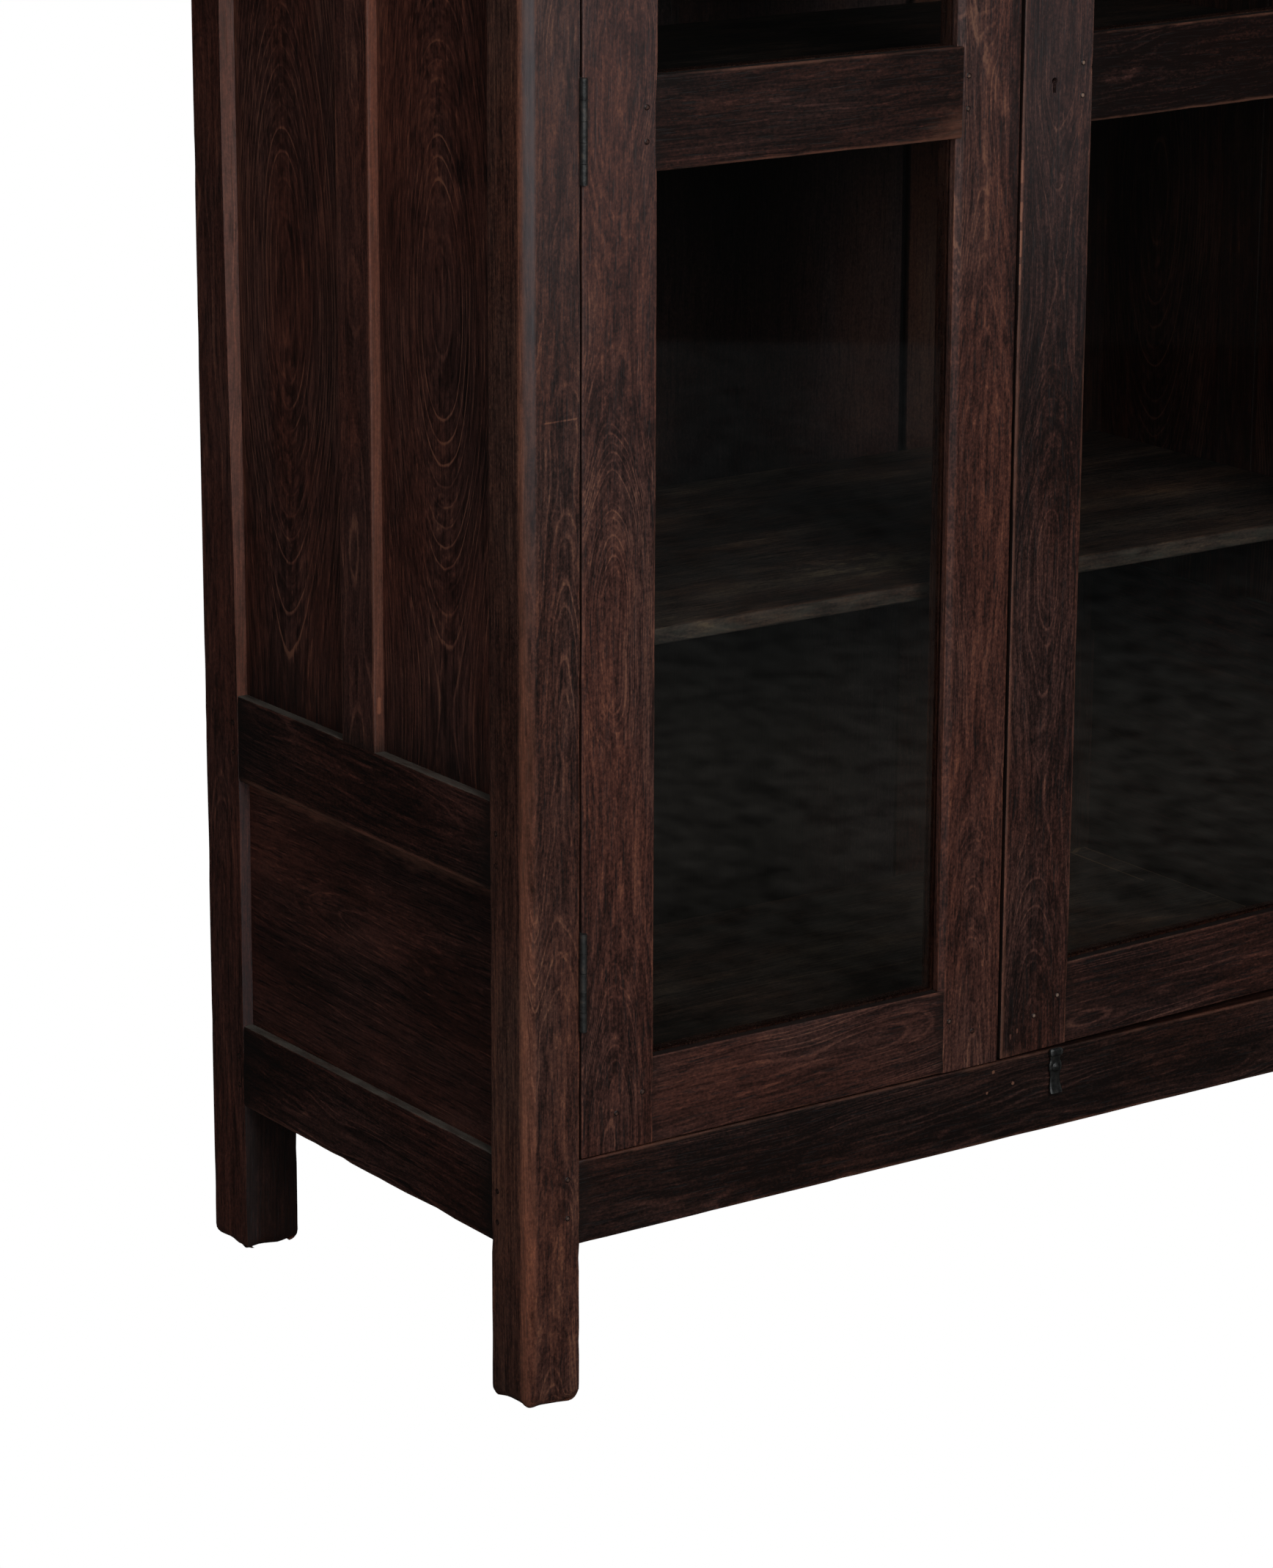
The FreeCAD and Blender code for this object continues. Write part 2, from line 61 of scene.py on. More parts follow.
# ------------------------------------------------------------------ noise
def _hash(i, j, k, seed):
    h = (i * 374761393 + j * 668265263 + k * 1440662683 + seed * 974634777) & 0xFFFFFFFF
    h = ((h ^ (h >> 13)) * 1274126177) & 0xFFFFFFFF
    h = ((h ^ (h >> 15)) * 2246822519) & 0xFFFFFFFF
    return ((h ^ (h >> 16)) & 0xFFFF) / 65535.0


def vnoise(p, seed=0):
    """Smooth value noise, 0 to 1, at points p (n, 3)."""
    p = np.asarray(p, float)
    i = np.floor(p).astype(np.int64)
    f = p - i
    u = f * f * (3 - 2 * f)
    out = np.zeros(len(p))
    for dx in (0, 1):
        wx = u[:, 0] if dx else 1 - u[:, 0]
        for dy in (0, 1):
            wy = u[:, 1] if dy else 1 - u[:, 1]
            for dz in (0, 1):
                wz = u[:, 2] if dz else 1 - u[:, 2]
                out += wx * wy * wz * _hash(i[:, 0] + dx, i[:, 1] + dy, i[:, 2] + dz, seed)
    return out


def sstep(a, b, x):
    t = np.clip((np.asarray(x, float) - a) / (b - a), 0, 1)
    return t * t * (3 - 2 * t)


# ------------------------------------------------------------------ meshes
def new_object(name, verts_mm, faces, attr=None, smooth=35.0):
    me = bpy.data.meshes.new(name)
    me.from_pydata([tuple(v) for v in row(verts_mm)], [], faces)
    me.update()
    bm = bmesh.new()
    bm.from_mesh(me)
    bmesh.ops.recalc_face_normals(bm, faces=bm.faces)
    bm.to_mesh(me)
    bm.free()
    if attr is not None:
        a = me.attributes.new("wgd", "FLOAT_COLOR", "POINT")
        rgba = np.clip(attr[:, :4], 0, 1).astype(np.float32)
        a.data.foreach_set("color", rgba.ravel())
        h = me.attributes.new("haze", "FLOAT", "POINT")
        h.data.foreach_set("value", np.clip(attr[:, 4], 0, 1).astype(np.float32))
    me.polygons.foreach_set("use_smooth", np.ones(len(me.polygons), dtype=bool))
    me.set_sharp_from_angle(angle=math.radians(smooth))
    ob = bpy.data.objects.new(name, me)
    scene.collection.objects.link(ob)
    return ob


def outline(prof, fine=9.0):
    """Profile corners (a, b, radius, wear) to outline points: position, outward normal, wear, arris weight."""
    n = len(prof)
    area = sum(prof[i][0] * prof[(i + 1) % n][1] - prof[(i + 1) % n][0] * prof[i][1] for i in range(n))
    sgn = 1.0 if area > 0 else -1.0
    pos, nor, wear = [], [], []
    segs = []
    for i in range(n):
        p0, p1, p2 = (np.array(prof[(i + k) % n][:2], float) for k in (-1, 0, 1))
        r, w = prof[i][2], prof[i][3]
        d0, d1 = p1 - p0, p2 - p1
        l0, l1 = np.linalg.norm(d0), np.linalg.norm(d1)
        d0, d1 = d0 / l0, d1 / l1
        cr = (d0[0] * d1[1] - d0[1] * d1[0]) * sgn
        n0 = np.array([d0[1], -d0[0]]) * sgn
        n1 = np.array([d1[1], -d1[0]]) * sgn
        if cr > 0.2 and r > 0:
            k = 7 if r > 4 else (4 if r > 0.7 else 2)
            c = p1 - n0 * r - n1 * r if abs(np.dot(d0, d1)) < 0.01 else p1
            pts = []
            for j in range(k + 1):
                t = j / k
                v = n0 * math.cos(t * math.pi / 2) + n1 * math.sin(t * math.pi / 2)
                pts.append((c + v * r, v, w))
            segs.append((pts, r))
        else:
            v = n0 + n1
            v = v / max(np.linalg.norm(v), 1e-6)
            segs.append(([(p1, v, 0.0 if cr < 0 else w)], 0.0))
    out = []
    for i in range(n):
        pts, r = segs[i]
        out += [(q[0], q[1], q[2], 1.0) for q in pts]
        nxt, r2 = segs[(i + 1) % n]
        a, b = pts[-1], nxt[0]
        ln = np.linalg.norm(b[0] - a[0])
        if ln < 1.5:
            continue
        d = (b[0] - a[0]) / ln
        nn = np.array([d[1], -d[0]]) * sgn
        cuts = [c for c in (1.2, 3.0, 6.0) if c < ln * 0.45]
        far = cuts[-1] if cuts else 0
        m = max(1, int((ln - 2 * far) / fine))
        mids = [far + (ln - 2 * far) * k / m for k in range(1, m)] if ln > 2 * far + 3 else []
        ss = sorted(set(cuts + mids + [ln - c for c in cuts]))
        for s in ss:
            w = max(a[2] * math.exp(-s / 1.6), b[2] * math.exp(-(ln - s) / 1.6))
            out.append((a[0] + d * s, nn, w, math.exp(-min(s, ln - s) / 1.5)))
    return out


AX = {"Z": (0, 1, 2), "X": (1, 2, 0), "Y": (0, 2, 1)}


def sweep(name, prof, axis, l0, l1, step=14.0, ends=(0.8, 0.8), seed=1, wob=0.18, chip=0.5, ragged=0.0,
          joint=(0.0, 0.0), joint_len=14.0, shear=None, dust=0.0, extra=None, fine=9.0, haze=0.0):
    """A length of wood with the given section, softened arrises, slight unevenness and small dents.
    The colour attribute holds wear, grime (in places painted shade), dust and polish; a second attribute holds a
    painted sheen."""
    ol = outline(prof, fine)
    P2 = np.array([o[0] for o in ol])
    N2 = np.array([o[1] for o in ol])
    Wr = np.array([o[2] for o in ol])
    Ar = np.array([o[3] for o in ol])
    L = l1 - l0
    near = [0.0, 0.5, 1.2, 2.4, 4.5, 8.0, 13.0]
    st = set(near + [L - s for s in near])
    k = max(2, int(L / step))
    st |= {13.0 + (L - 26.0) * i / k for i in range(1, k)}
    st = np.array(sorted(s for s in st if 0 <= s <= L))
    m, n = len(st), len(P2)
    ia, ib, ic = AX[axis]
    S = np.repeat(st, n)
    V = np.zeros((m * n, 3))
    NV = np.zeros((m * n, 3))
    V[:, ia], V[:, ib] = np.tile(P2[:, 0], m), np.tile(P2[:, 1], m)
    V[:, ic] = l0 + S
    NV[:, ia], NV[:, ib] = np.tile(N2[:, 0], m), np.tile(N2[:, 1], m)
    wear, arris = np.tile(Wr, m), np.tile(Ar, m)
    # rounding of the two ends
    q = V / 1000.0
    off = np.zeros(m * n)
    for dist, re, side in ((S, ends[0], 0), (L - S, ends[1], 1)):
        if re > 0:
            rr = np.full(m * n, re)
            if ragged:
                rr = re * (0.6 + 0.9 * vnoise(q * 70 + 5 * side, seed + 31))
            t = np.clip(rr - dist, 0, None)
            off -= np.where(dist < rr, rr - np.sqrt(np.clip(rr * rr - t * t, 0, None)), 0)
            if ragged:
                V[:, ic] += (1 if side == 0 else -1) * np.exp(-dist / 1.2) * ragged * np.clip(vnoise(q * 160, seed + 33) - 0.45, 0, 1)
    # gentle unevenness of hand-planed faces and small dents along the arrises
    sc = np.array([8.0, 8.0, 8.0]); sc[ic] = 3.0
    off += wob * (vnoise(q * sc, seed) - 0.5) * 2
    sc2 = np.array([60.0, 60.0, 60.0]); sc2[ic] = 22.0
    dent = np.clip(vnoise(q * sc2, seed + 11) - 0.55, 0, 1) * 2.2
    sc3 = np.array([150.0, 150.0, 150.0]); sc3[ic] = 90.0
    nick = np.clip(vnoise(q * sc3, seed + 17) - 0.72, 0, 1) * 3.5
    off -= arris * chip * (dent + nick)
    V += NV * off[:, None]
    G = np.zeros(m * n)
    for dist, g in ((S, joint[0]), (L - S, joint[1])):
        if g > 0:
            jl = joint_len * (0.5 + 1.1 * vnoise(q * 45, seed + 41))
            G = np.maximum(G, g * np.exp(-dist / jl))
    up = np.clip(NV[:, 2], 0, 1)
    Du = dust * up
    wear = np.clip(wear * (0.55 + 0.9 * vnoise(q * np.where(np.arange(3) == ic, 9.0, 30.0), seed + 23)) + arris * (dent + nick) * 0.35 * (chip > 0), 0, 1)
    # painted sheen: front faces are mixed towards grey from 600 mm upwards, standing in for the soft highlight of the
    # lamps
    sheen_paint = haze * sstep(600.0, 1000.0, V[:, 2]) * np.clip(-NV[:, 1], 0, 1)
    attr = np.stack([wear, G, Du, np.zeros(m * n), sheen_paint], 1)
    if extra is not None:
        V, attr = extra(V, NV, attr)
    faces = []
    for i in range(m - 1):
        a0, b0 = i * n, (i + 1) * n
        for j in range(n):
            j2 = (j + 1) % n
            faces.append((a0 + j, a0 + j2, b0 + j2, b0 + j))
    faces.append(tuple(range(n - 1, -1, -1)))
    faces.append(tuple((m - 1) * n + j for j in range(n)))
    if shear:
        kk, xr = shear
        V[:, 2] += kk * (V[:, 0] - xr)
    V = np.clip(V, (-13.95, -13.95, 0.0), (W + 13.95, D - 0.05, 1779.95))
    return new_object(name, V, faces, attr)


def rect(a0, a1, b0, b1, r=1.2, w=0.6, rs=None, ws=None):
    """Corners in order (a0,b0), (a1,b0), (a1,b1), (a0,b1)."""
    rs = rs or (r, r, r, r)
    ws = ws or (w, w, w, w)
    return [(a0, b0, rs[0], ws[0]), (a1, b0, rs[1], ws[1]), (a1, b1, rs[2], ws[2]), (a0, b1, rs[3], ws[3])]


# ------------------------------------------------------------------ shader helpers
def node(nt, kind, **kw):
    n = nt.nodes.new(kind)
    for k, v in kw.items():
        setattr(n, k, v)
    return n


def put(nt, sock, v):
    if isinstance(v, bpy.types.NodeSocket):
        nt.links.new(v, sock)
    elif v is not None:
        sock.default_value = v


def mth(nt, op, a, b=None, c=None, clamp=False):
    n = node(nt, "ShaderNodeMath", operation=op, use_clamp=clamp)
    for i, v in enumerate((a, b, c)):
        put(nt, n.inputs[i], v)
    return n.outputs[0]


def vm(nt, op, a, b=None):
    n = node(nt, "ShaderNodeVectorMath", operation=op)
    put(nt, n.inputs[0], a)
    put(nt, n.inputs[1], b)
    return n.outputs["Value"] if op in ("LENGTH", "DOT_PRODUCT", "DISTANCE") else n.outputs["Vector"]


def rng(nt, v, a, b, c=0.0, d=1.0, smooth=True):
    n = node(nt, "ShaderNodeMapRange", interpolation_type="SMOOTHSTEP" if smooth else "LINEAR", clamp=True)
    for i, x in enumerate((v, a, b, c, d)):
        put(nt, n.inputs[i], x)
    return n.outputs[0]


def noise4(nt, vec, w, scale=1.0, detail=2.0, rough=0.5, color=False):
    n = node(nt, "ShaderNodeTexNoise", noise_dimensions="4D")
    put(nt, n.inputs["Vector"], vec)
    n.inputs["W"].default_value = w
    n.inputs["Scale"].default_value = scale
    n.inputs["Detail"].default_value = detail
    n.inputs["Roughness"].default_value = rough
    return n.outputs["Color" if color else "Fac"]


def mixc(nt, fac, a, b, mode="MIX"):
    n = node(nt, "ShaderNodeMix", data_type="RGBA", blend_type=mode)
    put(nt, n.inputs[0], fac)
    for i, v in ((6, a), (7, b)):
        put(nt, n.inputs[i], (*v, 1.0) if isinstance(v, tuple) and len(v) == 3 else v)
    return n.outputs[2]


def ramp(nt, fac, stops):
    n = node(nt, "ShaderNodeValToRGB")
    cr = n.color_ramp
    while len(cr.elements) < len(stops):
        cr.elements.new(0.5)
    for e, (p, c) in zip(cr.elements, stops):
        e.position = p
        e.color = (*c, 1.0)
    put(nt, n.inputs[0], fac)
    return n.outputs[0]


def fresh(name):
    m = bpy.data.materials.new(name)
    m.use_nodes = True
    nt = m.node_tree
    nt.nodes.clear()
    out = node(nt, "ShaderNodeOutputMaterial")
    return m, nt, out


def pal(mid):
    """Five-stop ramp round a middle tone (linear), a little less saturated at the pale end."""
    lum = 0.3 * mid[0] + 0.59 * mid[1] + 0.11 * mid[2]

    def k(f, s, warm=0.0):
        c = [max(0.0, (lum + (c - lum) * s) * f) for c in mid]
        return c[0], c[1] * (1 + 0.3 * warm), c[2] * (1 - 0.7 * warm)
    return [(0.0, k(0.10, 0.9)), (0.28, k(0.42, 1.0)), (0.52, k(1.0, 1.0)), (0.78, k(1.9, 1.0, 0.12)), (1.0, k(3.2, 0.95, 0.25))]


DARK = pal((0.0364, 0.0139, 0.0099))
PANEL = pal((0.0420, 0.0138, 0.0099))
DOOR = pal((0.0392, 0.0143, 0.0104))
INSIDE = pal((0.0515, 0.0268, 0.0203))
BACK = pal((0.0372, 0.0176, 0.0162))
BACK_RED = pal((0.0390, 0.0150, 0.0116))


def wood(name, axis, centre_mm, pith_mm, seed, tilt=(0.0, 0.0), spacing=0.95, cols=DARK, bias=0.0, ring=0.28, streak=0.66, lines=0.10, jit=1.0, lw=0.9,
         blotch=0.28, pores=0.24, fleck=0.17, wander=26.0, wave=6.0, speck=0.9, rough=0.44, wear_c=(0.118, 0.050, 0.031), spec=0.26, hump=None,
         extra=None, bump=0.35, marks=()):
    """Stained open-grain hardwood. Growth layers run round a pith line beside the piece, so flat faces show cathedral figure,
    and the pores follow the layers. hump = (axis index, amount, wavelength, centre) bends the pith line into chains of ovals."""
    m, nt, out = fresh(name)
    tc = node(nt, "ShaderNodeTexCoord")
    sx = node(nt, "ShaderNodeSeparateXYZ")
    nt.links.new(tc.outputs["Object"], sx.inputs[0])
    ia, ib, ic = AX[axis]
    c = row(centre_mm)
    comb = node(nt, "ShaderNodeCombineXYZ")
    for k, i in enumerate((ia, ib, ic)):
        nt.links.new(sx.outputs[i], comb.inputs[k])
    P = vm(nt, "SUBTRACT", comb.outputs[0], (c[ia], c[ib], c[ic]))
    # bent growth layers
    low = noise4(nt, vm(nt, "MULTIPLY", P, (7.0, 7.0, 1.9)), seed, detail=2.0, color=True)
    w1 = vm(nt, "MULTIPLY", vm(nt, "SUBTRACT", low, (0.5, 0.5, 0.5)), (wander / 1000, wander / 1000, 0.0))
    fin = noise4(nt, vm(nt, "MULTIPLY", P, (55.0, 55.0, 16.0)), seed + 3.1, detail=2.0, color=True)
    w2 = vm(nt, "MULTIPLY", vm(nt, "SUBTRACT", fin, (0.5, 0.5, 0.5)), (jit / 1000, jit / 1000, 0.0))
    Q = vm(nt, "ADD", vm(nt, "ADD", P, w1), w2)
    if wave:
        mid = noise4(nt, vm(nt, "MULTIPLY", P, (22.0, 22.0, 9.0)), seed + 5.3, detail=1.0, color=True)
        Q = vm(nt, "ADD", Q, vm(nt, "MULTIPLY", vm(nt, "SUBTRACT", mid, (0.5, 0.5, 0.5)), (wave / 1000, wave / 1000, 0.0)))
    sq = node(nt, "ShaderNodeSeparateXYZ")
    nt.links.new(Q, sq.inputs[0])
    q = []
    for k in (0, 1):
        x = mth(nt, "SUBTRACT", mth(nt, "SUBTRACT", sq.outputs[k], pith_mm[k] / 1000), mth(nt, "MULTIPLY", sq.outputs[2], tilt[k]))
        if hump is not None and hump[0] == k:
            ph = mth(nt, "MULTIPLY", mth(nt, "SUBTRACT", sq.outputs[2], hump[3] / 1000), 2 * math.pi / (hump[2] / 1000))
            x = mth(nt, "ADD", x, mth(nt, "MULTIPLY", mth(nt, "COSINE", ph), math.copysign(hump[1] / 1000, pith_mm[k])))
        q.append(x)
    uu, vv = q
    r = mth(nt, "SQRT", mth(nt, "ADD", mth(nt, "MULTIPLY", uu, uu), mth(nt, "MULTIPLY", vv, vv)))
    t = mth(nt, "MULTIPLY", r, 1000.0 / spacing)
    f = mth(nt, "FRACT", t)
    wn = node(nt, "ShaderNodeTexWhiteNoise", noise_dimensions="1D")
    nt.links.new(mth(nt, "ADD", mth(nt, "FLOOR", t), seed * 7.3), wn.inputs["W"])
    bl = noise4(nt, vm(nt, "MULTIPLY", P, (10.0, 10.0, 3.6)), seed + 31.1, detail=4.0, rough=0.6)
    msk = noise4(nt, vm(nt, "MULTIPLY", P, (16.0, 16.0, 5.0)), seed + 37.7, detail=2.0)
    line = mth(nt, "MULTIPLY", rng(nt, f, 0.0, 0.14 * lw), rng(nt, f, 0.50 * lw, 0.20 * lw))
    line = mth(nt, "MULTIPLY", line, mth(nt, "MULTIPLY", wn.outputs[0], rng(nt, msk, 0.36, 0.62, 0.15, 1.25)))
    # streaks and pores run along the growth layers
    lat = mth(nt, "ADD", uu, vv)
    gv = node(nt, "ShaderNodeCombineXYZ")
    nt.links.new(r, gv.inputs[0])
    nt.links.new(lat, gv.inputs[1])
    nt.links.new(sq.outputs[2], gv.inputs[2])
    G = gv.outputs[0]
    PS = vm(nt, "ADD", P, w2)
    s1 = noise4(nt, vm(nt, "MULTIPLY", G, (900.0, 160.0, 12.0)), seed + 11.7, detail=2.0, rough=0.6)
    s2 = noise4(nt, vm(nt, "MULTIPLY", PS, (600.0, 600.0, 26.0)), seed + 13.9, detail=3.0, rough=0.65)
    s3 = noise4(nt, vm(nt, "MULTIPLY", PS, (250.0, 250.0, 12.0)), seed + 15.3, detail=2.0, rough=0.5)
    st = mth(nt, "ADD", mth(nt, "MULTIPLY", s1, 0.5), mth(nt, "ADD", mth(nt, "MULTIPLY", s2, 0.32), mth(nt, "MULTIPLY", s3, 0.18)))
    sp = noise4(nt, vm(nt, "MULTIPLY", P, (620.0, 620.0, 380.0)), seed + 19.3, detail=2.0, rough=0.7)
    thin = rng(nt, mth(nt, "ABSOLUTE", mth(nt, "SUBTRACT", s3, 0.5)), 0.038, 0.006)
    po = noise4(nt, vm(nt, "MULTIPLY", PS, (640.0, 640.0, 42.0)), seed + 17.9, detail=2.0)
    fl = noise4(nt, vm(nt, "MULTIPLY", G, (1500.0, 330.0, 46.0)), seed + 23.3, detail=1.0)
    pore = rng(nt, po, 0.55, 0.70)
    flk = rng(nt, fl, 0.56, 0.74)
    v = mth(nt, "ADD", 0.485 + bias - 0.1 * ring * lw, mth(nt, "MULTIPLY", mth(nt, "SUBTRACT", st, 0.5), streak * 2.4))
    v = mth(nt, "ADD", v, mth(nt, "MULTIPLY", mth(nt, "SUBTRACT", sp, 0.5), speck))
    v = mth(nt, "ADD", v, mth(nt, "MULTIPLY", mth(nt, "SUBTRACT", bl, 0.5), blotch * 2.6))
    v = mth(nt, "ADD", v, mth(nt, "MULTIPLY", line, ring))
    v = mth(nt, "SUBTRACT", v, mth(nt, "MULTIPLY", pore, pores))
    v = mth(nt, "ADD", v, mth(nt, "MULTIPLY", flk, fleck))
    v = mth(nt, "ADD", mth(nt, "SUBTRACT", v, mth(nt, "MULTIPLY", thin, lines)), lines * 0.25)
    # wear, grime and dust; the grime channel also carries painted shade, and at the rear edges of the upper side panels
    # the wear channel also carries painted bounce light
    at = node(nt, "ShaderNodeAttribute", attribute_name="wgd", attribute_type="GEOMETRY")
    sc = node(nt, "ShaderNodeSeparateColor")
    nt.links.new(at.outputs["Color"], sc.inputs[0])
    pn = noise4(nt, vm(nt, "MULTIPLY", P, (140.0, 140.0, 40.0)), seed + 41.0, detail=4.0, rough=0.6)
    wear = rng(nt, mth(nt, "ADD", sc.outputs[0], mth(nt, "MULTIPLY", mth(nt, "SUBTRACT", pn, 0.5), 1.1)), 0.22, 0.95)
    grime_and_shade = rng(nt, mth(nt, "ADD", sc.outputs[1], mth(nt, "MULTIPLY", mth(nt, "SUBTRACT", pn, 0.5), 0.7)), 0.12, 0.95)
    dust = rng(nt, mth(nt, "ADD", sc.outputs[2], mth(nt, "MULTIPLY", mth(nt, "SUBTRACT", pn, 0.5), 0.9)), 0.25, 0.9)
    if extra is not None:
        v = extra(nt, sx, v)
    for p0, p1, wid, amt in marks:
        # a scratch, chip or dot: distance to a short line
        a0, a1 = Vector(row(p0)), Vector(row(p1))
        d = a1 - a0
        rel = vm(nt, "SUBTRACT", tc.outputs["Object"], tuple(a0))
        if d.length > 1e-6:
            tt = mth(nt, "MULTIPLY", vm(nt, "DOT_PRODUCT", rel, tuple(d)), 1.0 / d.length_squared, clamp=True)
            sc3 = node(nt, "ShaderNodeVectorMath", operation="SCALE")
            sc3.inputs[0].default_value = tuple(d)
            nt.links.new(tt, sc3.inputs["Scale"])
            rel = vm(nt, "SUBTRACT", rel, sc3.outputs[0])
        v = mth(nt, "ADD", v, mth(nt, "MULTIPLY", rng(nt, vm(nt, "LENGTH", rel), wid / 1000, wid / 2600), amt))
    col = ramp(nt, v, cols)
    # the stain drifts between red-brown and grey-brown
    tint = mixc(nt, rng(nt, msk, 0.36, 0.64), (1.08, 0.96, 0.89), (0.91, 1.04, 1.13))
    col = mixc(nt, 1.0, col, tint, "MULTIPLY")
    # painted sheen: a grey colour mixed in where the sheen attribute is set, standing in for a soft highlight
    sheen_paint = node(nt, "ShaderNodeAttribute", attribute_name="haze", attribute_type="GEOMETRY")
    col = mixc(nt, sheen_paint.outputs["Fac"], col, (0.056, 0.050, 0.052))
    wearc = mixc(nt, 0.5, wear_c, mixc(nt, 1.0, col, (2.2, 1.8, 1.6), "MULTIPLY"))
    col = mixc(nt, mth(nt, "MULTIPLY", wear, 0.85), col, wearc)
    col = mixc(nt, mth(nt, "MULTIPLY", grime_and_shade, 0.86), col, (0.0042, 0.0026, 0.0022))
    col = mixc(nt, mth(nt, "MULTIPLY", dust, 0.8), col, (0.088, 0.080, 0.066))
    ro = mth(nt, "ADD", rough - 0.06, mth(nt, "MULTIPLY", st, 0.16))
    ro = mth(nt, "ADD", ro, mth(nt, "MULTIPLY", pore, 0.16))
    ro = mth(nt, "ADD", ro, mth(nt, "MULTIPLY", dust, 0.3))
    ro = mth(nt, "SUBTRACT", ro, mth(nt, "MULTIPLY", at.outputs["Alpha"], 0.20))
    hgt = mth(nt, "SUBTRACT", mth(nt, "MULTIPLY", st, 0.5), mth(nt, "MULTIPLY", pore, 0.8))
    bp = node(nt, "ShaderNodeBump")
    bp.inputs["Strength"].default_value = bump
    bp.inputs["Distance"].default_value = 0.0005
    nt.links.new(hgt, bp.inputs["Height"])
    bs = node(nt, "ShaderNodeBsdfPrincipled")
    nt.links.new(col, bs.inputs["Base Color"])
    nt.links.new(ro, bs.inputs["Roughness"])
    nt.links.new(bp.outputs[0], bs.inputs["Normal"])
    bs.inputs["Specular IOR Level"].default_value = spec
    nt.links.new(bs.outputs[0], out.inputs[0])
    return m


def dress(ob, mat):
    ob.data.materials.clear()
    ob.data.materials.append(mat)
    return ob


def stand_for(ob, nodename, body):
    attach(ob, body)
    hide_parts(nodename)
    return ob


made = {}


def timber(nodename, prof, axis, l0, l1, pith, seed, body="carcass", slot="frame_wood", mat=None, **kw):
    matkw = mat or {}
    ob = sweep(nodename + "_wood", prof, axis, l0, l1, seed=seed, **kw)
    ia, ib, ic = AX[axis]
    c = np.zeros(3)
    c[ia] = np.mean([p[0] for p in prof])
    c[ib] = np.mean([p[1] for p in prof])
    c[ic] = (l0 + l1) / 2
    dress(ob, wood("wood_" + nodename, axis, c, pith, float(seed), **matkw))
    stand_for(ob, nodename, body)
    made[nodename] = ob
    return ob


# ------------------------------------------------------------------ carcass
FR = dict(cols=DARK)
# long straight members: finer, quieter figure
LONG = dict(spacing=0.62, ring=0.42, streak=0.88, blotch=0.34, wander=18.0, speck=1.2)
# posts: the outer front corner is well rounded and polished by use, worn to a redder tone towards the side
def front_corner(V, NV, A):
    nx, ny = np.abs(NV[:, 0]), np.clip(-NV[:, 1], 0, 1)
    arc = np.clip(4 * nx * nx * ny * ny, 0, 1)
    A[:, 0] = np.where(arc > 0.02, 0.56 + 0.34 * np.exp(-((nx - 0.90) / 0.18) ** 2) + 0.08 * (1 - sstep(120.0, 450.0, V[:, 2])) - 0.22 * (1 - sstep(10.0, 90.0, V[:, 2])), A[:, 0])
    A[:, 0] = np.where((arc <= 0.02) & (nx > 0.9), np.maximum(A[:, 0], 0.33), A[:, 0])
    A[:, 0] = np.maximum(A[:, 0], 0.85 * np.exp(-V[:, 2] / 4.0) * (0.4 + vnoise(V / 1000.0 * 120, 91)))
    A[:, 3] = sstep(0.0, 0.35, arc)
    # higher up, the front half of the corner gets a painted grey sheen, a painted highlight, instead of red wear
    hi = sstep(480.0, 950.0, V[:, 2]) * (arc > 0.02) * sstep(0.25, 0.7, ny)
    A[:, 0] = A[:, 0] * (1 - 0.45 * hi)
    A[:, 4] = np.maximum(A[:, 4], 0.75 * hi)
    return V, A


def low_light(nt, sx, v):
    """The posts are paler towards the feet."""
    v = mth(nt, "SUBTRACT", v, rng(nt, sx.outputs[2], 0.085, 0.015, 0.0, 0.10))
    return mth(nt, "ADD", v, rng(nt, sx.outputs[2], 0.55, 0.12, 0.0, 0.13))


def back_chamfer(V, NV, A):
    """The arris beside the rear panel is pared back, more so higher up."""
    left = V[:, 0] < W / 2
    xo = np.where(left, V[:, 0], W - V[:, 0])
    face = NV[:, 1] < -0.5
    cut = 1.5 + 8.0 * sstep(430.0, 960.0, V[:, 2])
    k = np.clip(1 - xo / 11.0, 0, 1)
    near = (V[:, 1] < BPY + 14.0) & (xo < 11.0)
    V[:, 1] += np.where(near, np.clip(BPY + cut * k - V[:, 1], 0, None), 0)
    hi = sstep(380.0, 470.0, V[:, 2])
    A[:, 0] = np.where(near & (NV[:, 1] < -0.3), np.maximum(A[:, 0] * hi, 0.22 + 0.50 * hi), A[:, 0])
    # painted sheen on the pared arris lower down
    A[:, 4] = np.where(near & (NV[:, 1] < -0.3), 0.30 * (1 - hi), A[:, 4])
    # painted shade on the front faces below the side rails, under the cabinet
    A[:, 1] = np.where((V[:, 2] < 124.0) & (NV[:, 1] < -0.3), 0.80, A[:, 1])
    A[:, 0] = np.maximum(A[:, 0], 0.8 * np.exp(-V[:, 2] / 4.0) * (0.4 + vnoise(V / 1000.0 * 120, 92)))
    # painted shade: faces inside the cabinet are darkened and lose their wear
    hid = (xo > 14.0) & (V[:, 1] < D - 6.0) & (V[:, 2] > 190.0)
    A[:, 1] = np.where(hid, 0.60, A[:, 1])
    A[:, 0] = np.where(hid, 0.0, A[:, 0])
    return V, A


